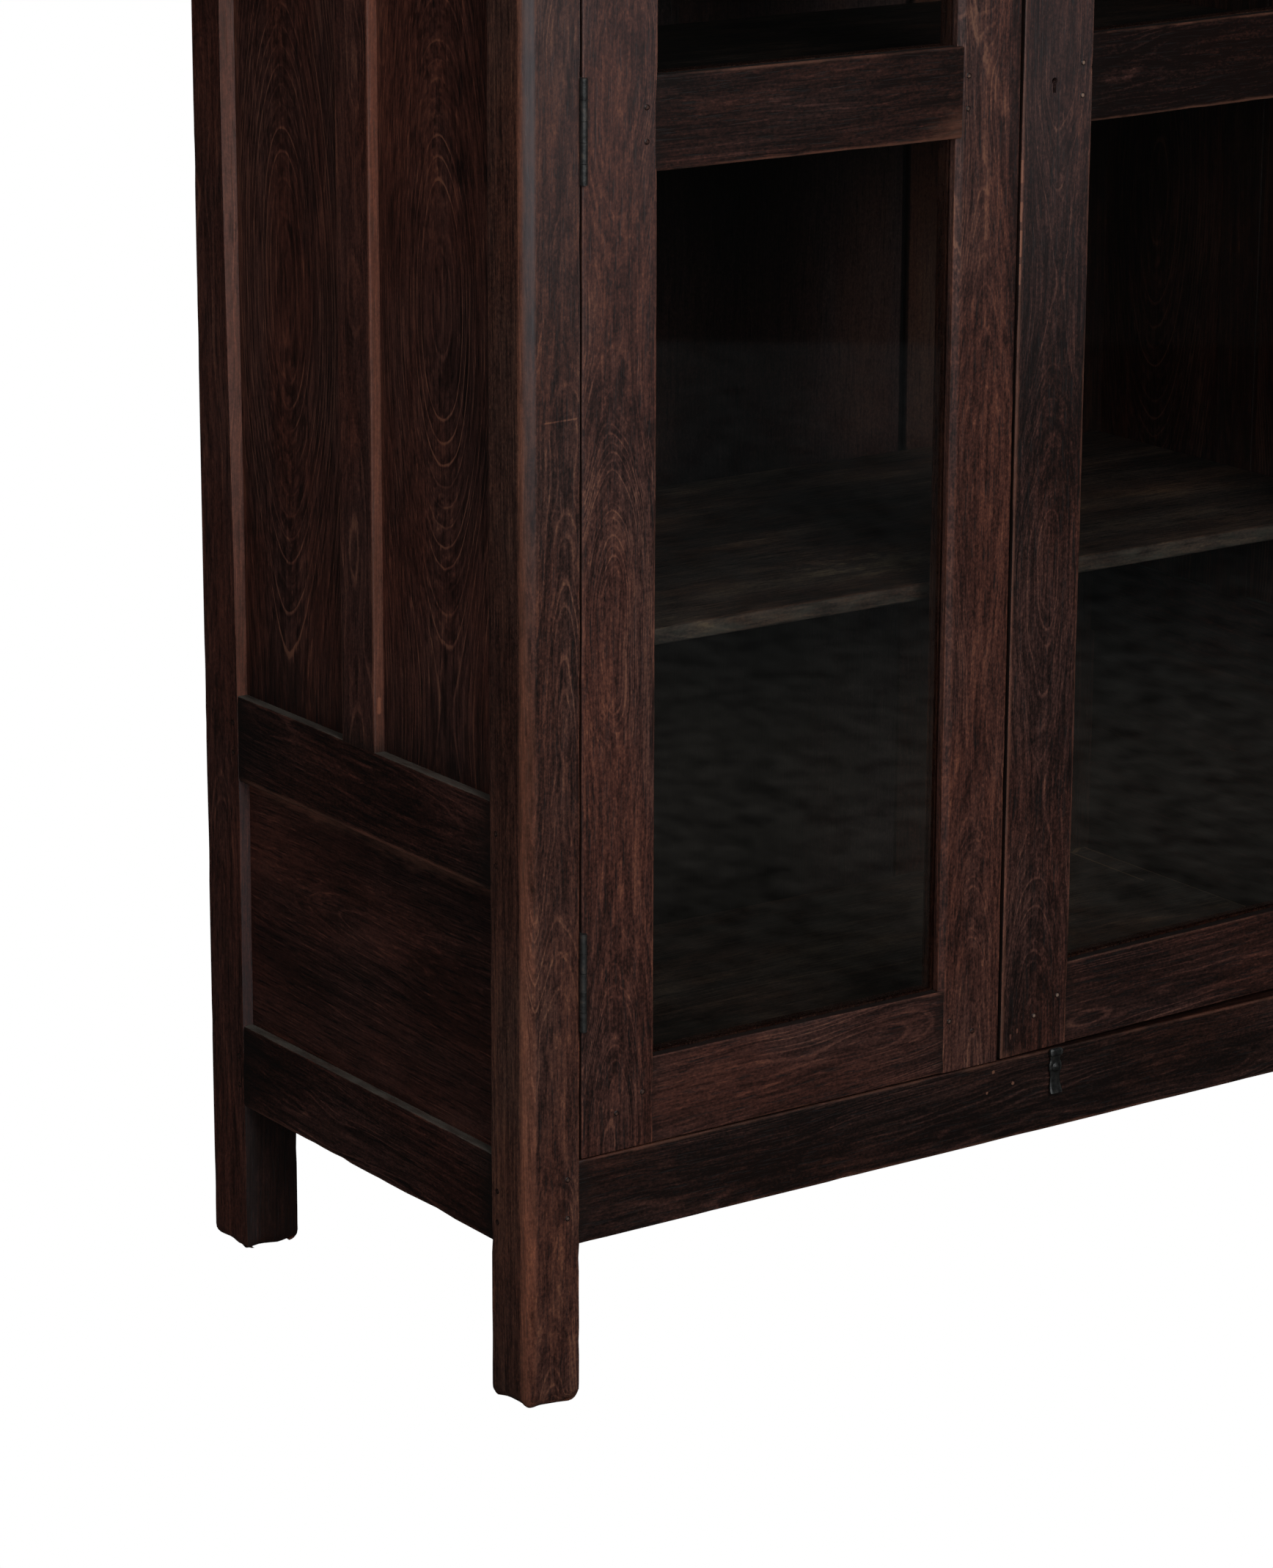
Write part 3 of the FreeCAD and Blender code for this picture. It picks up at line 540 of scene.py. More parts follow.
timber("front_post_left", [(0, 0, 10.0, 0.3), (POST, 0, 1.6, 0.3), (POST, POST, 1.5, 0.3), (0, POST, 1.5, 0.3)], "Z", 0, POST_TOP,
       (10, 70), 3, ends=(8.0, 0.8), ragged=2.2, mat=dict(FR, tilt=(0.01, 0.02), bias=-0.02, spec=0.26, extra=low_light, marks=[((16.8, 0, 736.6), (43.4, 0, 737.1), 0.9, 0.45)], **LONG), step=11, extra=front_corner, haze=0.24)
timber("front_post_right", [(W, 0, 10.0, 0.3), (W, POST, 1.5, 0.3), (W - POST, POST, 1.5, 0.3), (W - POST, 0, 1.6, 0.3)], "Z", 0, POST_TOP,
       (-12, 66), 4, ends=(8.0, 0.8), ragged=2.2, mat=dict(FR, tilt=(0.012, -0.016), bias=-0.02, spec=0.26, extra=low_light, **LONG), step=11, extra=front_corner, haze=0.24)
timber("back_post_left", [(0, BPY, 1.2, 0.4), (POST, BPY, 1.5, 0.3), (POST, D, 2.0, 0.3), (0, D, 3.0, 0.3)], "Z", 0, POST_TOP,
       (60, 12), 5, ends=(6.5, 0.8), ragged=2.0, mat=dict(cols=PANEL, bias=-0.06, tilt=(0.02, 0.0), marks=[((2.0, 399.5, 920.0), (2.0, 400.5, 913.0), 2.4, 0.7)]), step=13, extra=back_chamfer, fine=5.0)
timber("back_post_right", [(W, BPY, 1.2, 0.4), (W, D, 3.0, 0.3), (W - POST, D, 2.0, 0.3), (W - POST, BPY, 1.5, 0.3)], "Z", 0, POST_TOP,
       (-58, 10), 6, ends=(6.5, 0.8), ragged=2.0, mat=dict(cols=PANEL, bias=-0.06, tilt=(-0.02, 0.0)), step=13, extra=back_chamfer, fine=5.0)

# rails across the front and back
timber("front_base_rail", rect(0.3, 26, 121.6, 186.5, r=1.3, rs=(1.6, 1.2, 1.2, 1.4), ws=(0.5, 0.2, 0.2, 0.5)), "X", POST - 3, W - POST + 3,
       (60, -14), 7, joint=(0.8, 0.8), joint_len=26, mat=dict(FR, bias=-0.36, blotch=0.42, tilt=(0.0, 0.03), marks=[((432.9, 0.3, 178.8),) * 2 + (1.8, 1.2), ((452.6, 0.3, 165.9),) * 2 + (1.9, 1.3), ((427.1, 0.3, 162.8),) * 2 + (1.6, 1.0)]))
timber("front_top_rail", rect(0.3, 26, TOPR0, TOPR1, r=1.3, ws=(0.5, 0.2, 0.2, 0.4)), "X", POST - 3, W - POST + 3,
       (62, 12), 8, joint=(0.7, 0.7), joint_len=22, mat=dict(FR, bias=-0.02, tilt=(0.0, -0.03)))
timber("back_bottom_rail", rect(424, 446, 121, 187, r=1.2, w=0.3), "X", POST - 3, W - POST + 3, (-55, 10), 9, joint=(0.6, 0.6), mat=dict(FR, bias=-0.06))
timber("back_top_rail", rect(424, 446, TOPR0, TOPR1, r=1.2, w=0.3), "X", POST - 3, W - POST + 3, (-52, -12), 10, joint=(0.6, 0.6), mat=dict(FR, bias=-0.06))

# sides
for side, s0 in (("left", 20), ("right", 40)):
    mir = (lambda x: x) if side == "left" else (lambda x: W - x)
    sg = 1 if side == "left" else -1

    def xr(a0, a1, b0, b1, rs, ws):
        p = [(mir(a0), b0, rs[0], ws[0]), (mir(a1), b0, rs[1], ws[1]), (mir(a1), b1, rs[2], ws[2]), (mir(a0), b1, rs[3], ws[3])]
        return p if side == "left" else p[::-1]

    for i, (nm, z0, z1) in enumerate((("bottom_rail", SB0, SB1), ("middle_rail", SM0, SM1), ("top_rail", TOPR0, TOPR1))):
        timber(side + "_" + nm, xr(0.35, 20, z0, z1, (2.6 if i == 1 else 1.6, 1.0, 1.0, 1.2), (1.0 if i == 1 else 0.55, 0.1, 0.1, 0.40)), "Y", POST - 3, BPY + 3,
               (sg * 55, (-18, 14, 6)[i]), s0 + i, joint=(0.95, 0.95), joint_len=30, dust=0.66, chip=0.9,
               mat=dict(cols=PANEL, bias=(-0.17, -0.27, -0.2)[i], blotch=0.40, tilt=(0.0, 0.05)))
    def strip(V, NV, A):
        outside = mir(V[:, 0]) < 12.0
        A[:, 0] = np.where(outside, np.where(NV[:, 1] < -0.3, np.maximum(A[:, 0], 0.84), A[:, 0]), 0.0)
        # painted shade: the faces inside the cabinet are darkened
        A[:, 1] = np.where(outside, A[:, 1], 0.60)
        return V, A

    def tall_panel(y_rear):
        def f(V, NV, A):
            q = V / 1000.0
            # paler next to the rear edge: partly less dust, partly painted bounce light from the strip beside it
            A[:, 0] = 0.50 * np.exp(-np.abs(y_rear - V[:, 1]) / 7.0) * (0.5 + vnoise(q * np.array([1, 1, 6.0]), 71))
            A[:, 1] = 0.66 * np.exp(-np.abs(V[:, 2] - SM1) / (34.0 + 80.0 * vnoise(q * np.array([1, 30.0, 1]), 72)))
            # painted shade on the faces inside the cabinet
            A[:, 1] = np.where(NV[:, 0] * sg > 0.5, 0.36, A[:, 1])
            return V, A
        return f

    def low_panel(V, NV, A):
        q = V / 1000.0
        d = SM0 - V[:, 2]
        mid = np.exp(-((V[:, 1] - 215.0) / 120.0) ** 2)
        A[:, 0] = (0.85 + 0.35 * mid) * np.exp(-np.clip(d, 0, None) / 9.0) * (0.55 + 0.8 * vnoise(q * np.array([1, 24.0, 9.0]), 73))
        # painted shade on the faces inside the cabinet
        A[:, 1] = np.where(NV[:, 0] * sg > 0.5, 0.55, A[:, 1])
        return V, A

    timber(side + "_muntin", xr(0.45, 20, MY0, MY1, (1.3, 1.0, 1.0, 1.3), (0.7, 0.1, 0.1, 0.6)), "Z", SM1 - 3, TOPR0 + 3,
           (sg * 60, 6), s0 + 5, joint=(0.8, 0.6), joint_len=36, extra=strip, mat=dict(cols=PANEL, bias=0.02, tilt=(0.0, 0.01), marks=[((mir(4.8), MY0, 496.0), (mir(4.7), MY0, 486.0), 2.2, 0.7)]))
    pan = dict(cols=PANEL, speck=0.6, ring=0.66, spacing=2.2, blotch=0.32, wander=12.0, rough=0.42, streak=1.0, fleck=0.26, lines=0.08, jit=0.9, lw=0.42, wave=0.0)
    timber(side + "_upper_panel_front", xr(9, 16, POST - 5, MY0 + 5, (0.3,) * 4, (0,) * 4), "Z", SM1 - 5, TOPR0 + 5,
           (sg * 70, -6), s0 + 6, slot="panel_wood", chip=0, wob=0.5, extra=tall_panel(MY0), mat=dict(pan, hump=(0, 15.0, 600.0, -270.0), bias=-0.05, marks=[((mir(9), 95.3, 903.0), (mir(9), 95.3, 898.0), 9.0, -0.22), ((mir(9), 58.0, 906.7), (mir(9), 58.0, 900.0), 7.0, -0.20)]), fine=6)
    timber(side + "_upper_panel_rear", xr(9, 16, MY1 - 5, BPY + 5, (0.3,) * 4, (0,) * 4), "Z", SM1 - 5, TOPR0 + 5,
           (sg * 76, 9), s0 + 7, slot="panel_wood", chip=0, wob=0.5, extra=tall_panel(BPY), mat=dict(pan, hump=(0, 14.0, 640.0, -290.0), bias=-0.04, marks=[((mir(9), 262.0, 960.0), (mir(9), 276.0, 862.0), 0.8, 0.3)]), fine=6)
    timber(side + "_lower_panel", xr(9, 16, SB1 - 5, SM0 + 5, (0.3,) * 4, (0,) * 4), "Y", POST - 5, BPY + 5,
           (sg * 66, 20), s0 + 8, slot="panel_wood", chip=0, wob=0.5, extra=low_panel, mat=dict(pan, tilt=(0.03, 0.02), bias=-0.22, streak=0.55, ring=0.30, blotch=0.50, lines=0.05, wave=5.0, spacing=1.1), fine=6)

# inside: shelves, floor, top
ins = dict(cols=INSIDE, rough=0.62, spacing=2.6, wander=34.0, spec=0.22, streak=0.65, ring=0.26, lw=0.7, jit=2.4, wave=0.0)


def shelf_front(V, NV, A):
    """The front edge of a shelf is dusty and knocked about."""
    f = NV[:, 1] < -0.5
    A[:, 2] = np.where(f, 0.46, A[:, 2])
    return V, A


def rubbed(nt, sx, v):
    """A rubbed patch near the front of the shelf, and paler wood where things were pushed in and out."""
    tc = node(nt, "ShaderNodeTexCoord")
    c = row((392, 118, 563.5))
    d = vm(nt, "LENGTH", vm(nt, "MULTIPLY", vm(nt, "SUBTRACT", tc.outputs["Object"], tuple(c)), (0.75, 1.25, 1.0)))
    n1 = noise4(nt, vm(nt, "MULTIPLY", tc.outputs["Object"], (45.0, 110.0, 1.0)), 7.7, detail=4.0, rough=0.65)
    v = mth(nt, "ADD", v, mth(nt, "MULTIPLY", mth(nt, "MULTIPLY", rng(nt, d, 0.075, 0.01), rng(nt, n1, 0.44, 0.62)), 0.55))
    n2 = noise4(nt, vm(nt, "MULTIPLY", tc.outputs["Object"], (9.0, 26.0, 1.0)), 9.1, detail=5.0, rough=0.65)
    return mth(nt, "ADD", v, mth(nt, "MULTIPLY", mth(nt, "SUBTRACT", rng(nt, n2, 0.40, 0.64), 0.45), 0.34))


# shelves above 800 mm are darker: painted shade in the upper compartments
for nm, z, s in (("lower_shelf", 563.5, 60), ("middle_shelf", 938.0, 61), ("upper_shelf", 1313.0, 62)):
    timber(nm, rect(43, 426.5, z - 13, z, rs=(1.6, 0.8, 0.8, 3.0), ws=(0.2, 0, 0, 0.4)), "X", 20.3, W - 20.3, (40, -60), s, slot="inside_wood",
           step=24, fine=18, extra=shelf_front, mat=dict(ins, tilt=(0.03, 0.0), blotch=0.40, extra=rubbed, bias=0.0 if z < 800 else -0.33))
timber("floor_board", rect(27.6, 424, 177, 191, r=1.0, w=0.4), "X", 20.3, W - 20.3, (-30, -66), 63, slot="inside_wood",
       step=24, fine=18, mat=dict(ins, tilt=(-0.03, 0.0), blotch=0.36, extra=rubbed,
                                         marks=[((834.6, 391.0, 191.0), (832.6, 292.0, 191.0), 1.3, 0.8), ((854.6, 396.0, 191.0), (854.6, 170.0, 191.0), 1.6, 0.6),
                                                ((848.0, 397.0, 191.0), (838.0, 390.0, 191.0), 2.6, 1.3)]))
timber("top_board", rect(-13.9, 449.9, 1755.0, 1779.9, rs=(2.0, 1.5, 2.0, 5.0), ws=(0.4, 0.3, 0.4, 0.8)), "X", -13.9, W + 13.9, (50, -70), 64,
       ends=(4.0, 4.0), step=20, fine=16, mat=dict(FR, tilt=(0.03, 0.01), spacing=2.4, wander=40.0))

# ------------------------------------------------------------------ doors
GY0, GY1, DT, REB = 8.5, 11.5, 27.0, 8.0


def door(side, X, Z, seed, shear):
    body = side + "_door"
    x0, a, b, x1 = X
    z0, rb, l0, l1, rt, z1 = Z
    F = 0.35                                # rails lie a hair behind the stiles
    names = ("hinge_stile", "meeting_stile") if side == "left" else ("meeting_stile", "hinge_stile")
    lp = [(x0, 0, 1.5, 0.25), (a, 0, 1.3, 0.5), (a, GY0, 0.3, 0), (a - REB, GY0, 0, 0), (a - REB, DT, 0.8, 0.2), (x0, DT, 1.0, 0.2)]
    rp = [(b, 2.4, 0, 0.42), (b + 2.7, 1.22, 0, 0.0), (b + 5.5, 0, 0, 0.28), (x1, 0, 1.5, 0.3), (x1, DT, 1.0, 0.2), (b + REB, DT, 0.8, 0.2), (b + REB, GY0, 0, 0), (b, GY0, 0.3, 0)]
    if side == "right":
        lp[0] = (x0, 0, 1.3, 0.8)
    dm = dict(cols=DOOR)
    if side == "left":
        nicks = ([((74.7, 0, 219.9),) * 2 + (1.6, 0.5)], [((379.6, 1.6, 244.5), (379.3, 1.7, 240.0), 2.0, 1.3), ((419.5, 0, 268.0),) * 2 + (1.2, 0.4), ((388.6, 0, 996.0), (420.5, 0, 922.0), 6.5, 0.26), ((403.3, 0, 907.0), (407.5, 0, 830.0), 3.0, 0.22)])
    else:
        nicks = ([((448.8, 0, 206.0), (448.8, 0, 203.0), 1.1, 0.6), ((455.2, 0, 209.5), (455.2, 0, 207.0), 1.1, 0.6),
                  ((439.7, 0.5, 883.0), (439.7, 0.5, 868.0), 1.4, 0.85), ((439.7, 0.5, 852.0), (439.7, 0.5, 839.0), 1.3, 0.9), ((439.8, 0.5, 831.0), (439.8, 0.5, 813.0), 1.5, 1.0), ((439.7, 0.5, 806.0), (439.7, 0.5, 792.0), 1.2, 0.8)], [])
    dk = 0.0 if side == "left" else -0.15     # the right door is darker
    kw = dict(body=body, slot="door_wood", shear=shear)

    def dark_edge(V, NV, A):
        """The long edges that face each other across the door gap, and the hinge edges, are darkened: painted shade in
        the gaps.
        """
        e = (np.abs(NV[:, 0]) > 0.85) & (V[:, 1] > 0.8) & ((V[:, 0] < x0 + 1.0) | (V[:, 0] > x1 - 1.0))
        A[:, 1] = np.where(e, 1.0, A[:, 1])
        A[:, 0] = np.where(e, 0.0, A[:, 0])
        A[:, 4] = np.where((V[:, 0] > b - 1.0) & (V[:, 0] < b + 5.0), 0.0, A[:, 4])
        if side == "right":
            low = np.exp(-np.clip(V[:, 2] - z0, 0, None) / 11.0) * np.exp(-np.clip(V[:, 0] - x0, 0, None) / 30.0)
            A[:, 0] = np.where(NV[:, 1] < -0.2, np.maximum(A[:, 0], 0.9 * low), A[:, 0])
        return V, A

    def stain(nt, sx, v):
        """The right door's meeting stile is darkest at half height of the lower pane."""
        v = mth(nt, "ADD", v, rng(nt, sx.outputs[2], 0.30, 0.46, 0.02, -0.11))
        return mth(nt, "ADD", v, rng(nt, sx.outputs[2], 0.66, 0.92, 0.0, 0.17))

    def margin(nt, sx, v):
        """A darker strip along the left door's meeting edge that narrows downwards."""
        w = mth(nt, "SUBTRACT", row((x1, 0, 0))[0], rng(nt, sx.outputs[2], 0.68, 0.83, 0.0, 0.0095))
        d = mth(nt, "SUBTRACT", sx.outputs[0], w)
        return mth(nt, "SUBTRACT", v, mth(nt, "MULTIPLY", rng(nt, d, -0.0006, 0.0006), rng(nt, sx.outputs[2], 0.68, 0.74, 0.0, 0.26)))

    def rubbed_rail(V, NV, A):
        V, A = ledge(V, NV, A)
        u = (V[:, 0] - a) / (b - a)
        q = V / 1000.0
        k = np.exp(-np.clip(V[:, 2] - l0, 0, None) / 9.0) * (0.30 + 0.55 * sstep(0.7, 0.95, u)) + 0.45 * sstep(0.86, 0.98, u) * np.exp(-((V[:, 2] - l0 - 18) / 16.0) ** 2)
        A[:, 0] = np.where((NV[:, 1] < -0.3), np.maximum(A[:, 0], k * (0.4 + 1.0 * vnoise(q * np.array([26.0, 1, 60.0]), 77))), A[:, 0])
        A[:, 1] = A[:, 1] * np.where((NV[:, 1] < -0.3) & (u > 0.8), 0.35, 1.0)
        return V, A

    def ledge(V, NV, A):
        """The flat faces of the rebates in front of the glass are darkened: painted shade for the thin shadow line
        along the glass.
        """
        A[:, 1] = np.where((np.abs(NV[:, 2]) > 0.8) & (V[:, 1] > 1.2), 1.0, A[:, 1])
        return V, A

    timber(f"{side}_door_{names[0]}", lp, "Z", z0, z1, (-8, 58), seed, mat=dict(dm, tilt=(0.008, 0.016), bias=-0.02 + dk, hump=(1, 4.0, 380.0, 40.0), marks=nicks[0], extra=None if side == "left" else stain, **(LONG if side == "left" else dict(LONG, ring=0.27, blotch=0.46))), ends=(1.0, 1.0), step=12, haze=0.22, extra=dark_edge, **kw)
    timber(f"{side}_door_{names[1]}", rp, "Z", z0, z1, (9, 52), seed + 1, mat=dict(dm, tilt=(-0.01, 0.02), bias=-0.02 + dk, wear_c=(0.122, 0.046, 0.026), hump=(1, 4.0, 430.0, -270.0 if side == "left" else -90.0), marks=nicks[1], extra=margin if side == "left" else None, **dict(LONG, ring=0.37)), ends=(1.0, 1.0), step=12, haze=0.1 if side == "left" else 0.2, extra=dark_edge, **kw)
    rk = dict(joint=(1.0, 1.0), joint_len=13, ends=(0, 0), extra=ledge)
    timber(f"{side}_door_bottom_rail", [(F, z0, 1.2, 0.3), (DT - .2, z0, 0.8, 0), (DT - .2, rb - REB, 0.6, 0), (GY0, rb - REB, 0, 0), (GY0, rb, 0.4, 0), (F, rb, 0.9, 0.5)],
           "X", a - REB, b + REB, (56, -10), seed + 2, mat=dict(dm, tilt=(0.02, 0.05), bias=-0.10 + dk, ring=0.40), **rk, **kw)
    timber(f"{side}_door_lock_rail", [(F, l0, 1.3, 0.7), (GY0, l0, 0.4, 0), (GY0, l0 + REB, 0, 0), (DT - .2, l0 + REB, 0.6, 0), (DT - .2, l1 - REB, 0.6, 0),
                                      (GY0, l1 - REB, 0, 0), (GY0, l1, 0.4, 0), (F, l1, 1.1, 0.65)],
           "X", a - REB, b + REB, (54, 16), seed + 3, mat=dict(dm, tilt=(-0.02, 0.06), bias=-0.33 + 1.2 * dk, spec=0.26 if side == "left" else 0.18), **dict(rk, extra=rubbed_rail if side == "left" else ledge, fine=5.0), **kw)
    timber(f"{side}_door_top_rail", [(F, rt, 1.3, 0.6), (GY0, rt, 0.4, 0), (GY0, rt + REB, 0, 0), (DT - .2, rt + REB, 0.6, 0), (DT - .2, z1, 0.8, 0), (F, z1, 1.2, 0.4)],
           "X", a - REB, b + REB, (60, 12), seed + 4, mat=dict(dm, tilt=(0.02, -0.05), bias=-0.10 + dk), **rk, **kw)


door("left", LDX, LDZ, 80, None)
door("right", RDX, RDZ, 90, (RISE, RDX[0]))

# ------------------------------------------------------------------ plain materials
def iron_mat(name="blackened_iron", k=1.0):
    m, nt, out = fresh(name)
    tc = node(nt, "ShaderNodeTexCoord")
    n1 = noise4(nt, tc.outputs["Object"], 2.0, scale=240.0, detail=4.0)
    n2 = noise4(nt, tc.outputs["Object"], 5.0, scale=900.0, detail=2.0)
    col = ramp(nt, n1, [(0.3, (0.010 * k, 0.0100 * k, 0.0100 * k)), (0.55, (0.028 * k, 0.0285 * k, 0.0275 * k)), (0.75, (0.056 * k, 0.046 * k, 0.038 * k))])
    at = node(nt, "ShaderNodeAttribute", attribute_name="wgd", attribute_type="GEOMETRY")
    sc = node(nt, "ShaderNodeSeparateColor")
    nt.links.new(at.outputs["Color"], sc.inputs[0])
    rub = rng(nt, mth(nt, "ADD", sc.outputs[0], mth(nt, "MULTIPLY", mth(nt, "SUBTRACT", n1, 0.5), 1.4)), 0.5, 1.1)
    col = mixc(nt, rub, col, (0.068, 0.070, 0.068))
    bs = node(nt, "ShaderNodeBsdfPrincipled")
    nt.links.new(col, bs.inputs["Base Color"])
    bs.inputs["Metallic"].default_value = 0.7
    nt.links.new(mth(nt, "ADD", 0.34, mth(nt, "MULTIPLY", n2, 0.3)), bs.inputs["Roughness"])
    bp = node(nt, "ShaderNodeBump")
    bp.inputs["Strength"].default_value = 0.4
    bp.inputs["Distance"].default_value = 0.0004
    nt.links.new(n2, bp.inputs["Height"])
    nt.links.new(bp.outputs[0], bs.inputs["Normal"])
    nt.links.new(bs.outputs[0], out.inputs[0])
    return m


def glass_mat():
    m, nt, out = fresh("old_window_glass")
    tr = node(nt, "ShaderNodeBsdfTransparent")
    tr.inputs[0].default_value = (0.80, 0.83, 0.82, 1)
    gl = node(nt, "ShaderNodeBsdfGlossy")
    gl.inputs["Color"].default_value = (0.97, 0.985, 0.955, 1)
    gl.inputs["Roughness"].default_value = 0.03
    lw = node(nt, "ShaderNodeLayerWeight")
    lw.inputs["Blend"].default_value = 0.5
    fac = mth(nt, "ADD", 0.055, mth(nt, "MULTIPLY", mth(nt, "POWER", lw.outputs["Facing"], 5.0), 0.9))
    tc = node(nt, "ShaderNodeTexCoord")
    bp = node(nt, "ShaderNodeBump")
    bp.inputs["Strength"].default_value = 0.012
    bp.inputs["Distance"].default_value = 0.002
    nt.links.new(noise4(nt, tc.outputs["Object"], 1.0, scale=9.0, detail=1.0), bp.inputs["Height"])
    nt.links.new(bp.outputs[0], gl.inputs["Normal"])
    mx = node(nt, "ShaderNodeMixShader")
    nt.links.new(fac, mx.inputs[0])
    nt.links.new(tr.outputs[0], mx.inputs[1])
    nt.links.new(gl.outputs[0], mx.inputs[2])
    nt.links.new(mx.outputs[0], out.inputs[0])
    return m


IRON = iron_mat(k=0.75)
# the hinge leaves get a brighter copy of the iron: a painted sheen for the light the hinges catch
HINGE_SHEEN_IRON = iron_mat("hinge_iron_with_painted_sheen", 1.4)
GLASS = glass_mat()
for n in ("hinge_post_leaves", "left_door_hinge_leaves", "right_door_hinge_leaves", "carcass_screws", "left_door_hinge_screws",
          "right_door_hinge_screws", "lock_bolt"):
    dress(NODES[n], HINGE_SHEEN_IRON if "leaves" in n else IRON)
for n in ("left_door_lower_glass", "left_door_upper_glass", "right_door_lower_glass", "right_door_upper_glass"):
    dress(NODES[n], GLASS)
for i, (n, x) in enumerate((("back_board_left", 145), ("back_board_middle", 455), ("back_board_right", 745))):
    def shade(nt, sx, v):
        # inside, painted shade darkens the boards low down, on the left, high up and along their joints, on the inner
        # faces only
        d = mth(nt, "ADD", rng(nt, sx.outputs[2], 0.60, 0.52, 0.0, 0.34), rng(nt, sx.outputs[0], 0.17, 0.09, 0.05, 0.32))
        d = mth(nt, "SUBTRACT", d, rng(nt, sx.outputs[0], -0.192, -0.188, 0.0, 0.14))
        d = mth(nt, "ADD", d, rng(nt, sx.outputs[2], 0.93, 0.97, 0.0, 0.22))
        d = mth(nt, "SUBTRACT", d, rng(nt, sx.outputs[0], 0.227, 0.231, 0.0, 0.10))
        for xj in (-0.193, 0.229):
            e = rng(nt, mth(nt, "ABSOLUTE", mth(nt, "SUBTRACT", sx.outputs[0], xj)), 0.0052, 0.0030, 0.0, 0.6)
            d = mth(nt, "ADD", d, mth(nt, "MULTIPLY", e, rng(nt, sx.outputs[2], 0.50, 0.58)))
        return mth(nt, "SUBTRACT", v, mth(nt, "MULTIPLY", d, rng(nt, sx.outputs[1], 0.2160, 0.2125)))
    dress(NODES[n], wood("wood_" + n, "Z", (x, 432, 900), (20 - 18 * i, -70), 110.0 + i, tilt=(0.02, 0.02), extra=shade, **dict(ins, blotch=0.3, cols=BACK_RED if i == 2 else BACK, streak=0.30, ring=0.10, fleck=0.06, lines=0.04)))
for n, x in (("left_shelf_cleats", 27), ("right_shelf_cleats", W - 27)):
    dress(NODES[n], wood("wood_" + n, "Y", (x, 222, 700), (30, 40), 120.0, **ins))
for n, s in (("left_door_glazing_beads", 124.0), ("right_door_glazing_beads", 126.0)):
    dress(NODES[n], wood("wood_" + n, "Z", (240 if s == 124 else 640, 17, 900), (10, 50), s, cols=DOOR, bias=-0.05))

# ------------------------------------------------------------------ small pieces
def domes(name, ends):
    """Peg ends and screw heads: (centre, outward direction, radius, rise, wear)."""
    V, F, A = [], [], []
    K = 12
    for c, d, r, rise, wr in ends:
        c, d = np.array(c, float), np.array(d, float)
        u = np.array([0, 0, 1.0])
        w = np.cross(d, u)
        o = len(V)
        for rr, h, g in ((r, -1.6, 0.0), (r, rise * 0.25, 0.1), (r * 0.86, rise * 0.7, 0.15), (r * 0.5, rise * 0.93, 0.8)):
            for k in range(K):
                t = 2 * math.pi * k / K
                V.append(c + (u * math.cos(t) + w * math.sin(t)) * rr + d * h)
                A.append((wr * g, 0.9 if g < 0.3 else 0.0, 0, 0, 0))
        V += [c + d * rise, c - d * 1.6]
        A += [(wr, 0, 0, 0, 0), (0, 0.9, 0, 0, 0)]
        for k in range(K):
            k2 = (k + 1) % K
            F += [(o + q * K + k, o + q * K + k2, o + (q + 1) * K + k2, o + (q + 1) * K + k) for q in range(3)]
            F += [(o + 3 * K + k, o + 3 * K + k2, o + 4 * K), (o + k2, o + k, o + 4 * K + 1)]
    return new_object(name, np.array(V), F, np.array(A))


def one_piece(name, obs):
    bm = bmesh.new()
    for o in obs:
        bm.from_mesh(o.data)
    me = bpy.data.meshes.new(name)
    bm.to_mesh(me)
    bm.free()
    for o in obs:
        bpy.data.objects.remove(o)
    ob = bpy.data.objects.new(name, me)
    scene.collection.objects.link(ob)
    return ob


PEG = wood("wood_pegs", "Y", (400, 200, 900), (0, 0), 130.0, cols=DARK, bias=-0.16, wear_c=(0.34, 0.24, 0.18))
ends = []
for z in (161, 137, 433, 409, 1735, 1710):
    for y in (38.5, 406.5):
        ends += [((0.0, y, z), (-1, 0, 0), 2.2, 0.45, 0.35), ((W, y, z), (1, 0, 0), 2.2, 0.45, 0.35)]
for x in (36.0, 840.0):
    ends += [((x, 0.0, z), (0, -1, 0), 2.2, 0.45, 0.5) for z in (174, 144, 1736, 1708)]
    ends += [((x, D, z), (0, 1, 0), 2.2, 0.0, 0.3) for z in (168, 140, 1736, 1710)]
ob = dress(domes("carcass_peg_ends", ends), PEG)
stand_for(ob, "carcass_pegs", "carcass")
for side, X, Z, k in (("left", LDX, LDZ, 0.0), ("right", RDX, RDZ, RISE)):
    ends = []
    for e, sg in ((X[1], -1), (X[2], 1)):
        for z0, z1, kind in ((Z[0], Z[1], 0), (Z[2], Z[3], 1), (Z[4], Z[5], 0)):
            zc = (z0 + z1) / 2
            for dx, dz in (((9.5, 12), (9.5, -12)) if kind else ((10, 8), (33, -4))):
                x = e + sg * dx
                pale = 0.9 if side == "right" and sg < 0 else 0.45
                for y, dy in ((0.0, -1), (DT, 1)):
                    ends.append(((x, y, zc + dz + k * (x - X[0])), (0, dy, 0), 2.2, 0.45, pale))
    ob = dress(domes(side + "_door_peg_ends", ends), PEG)
    stand_for(ob, side + "_door_pegs", side + "_door")


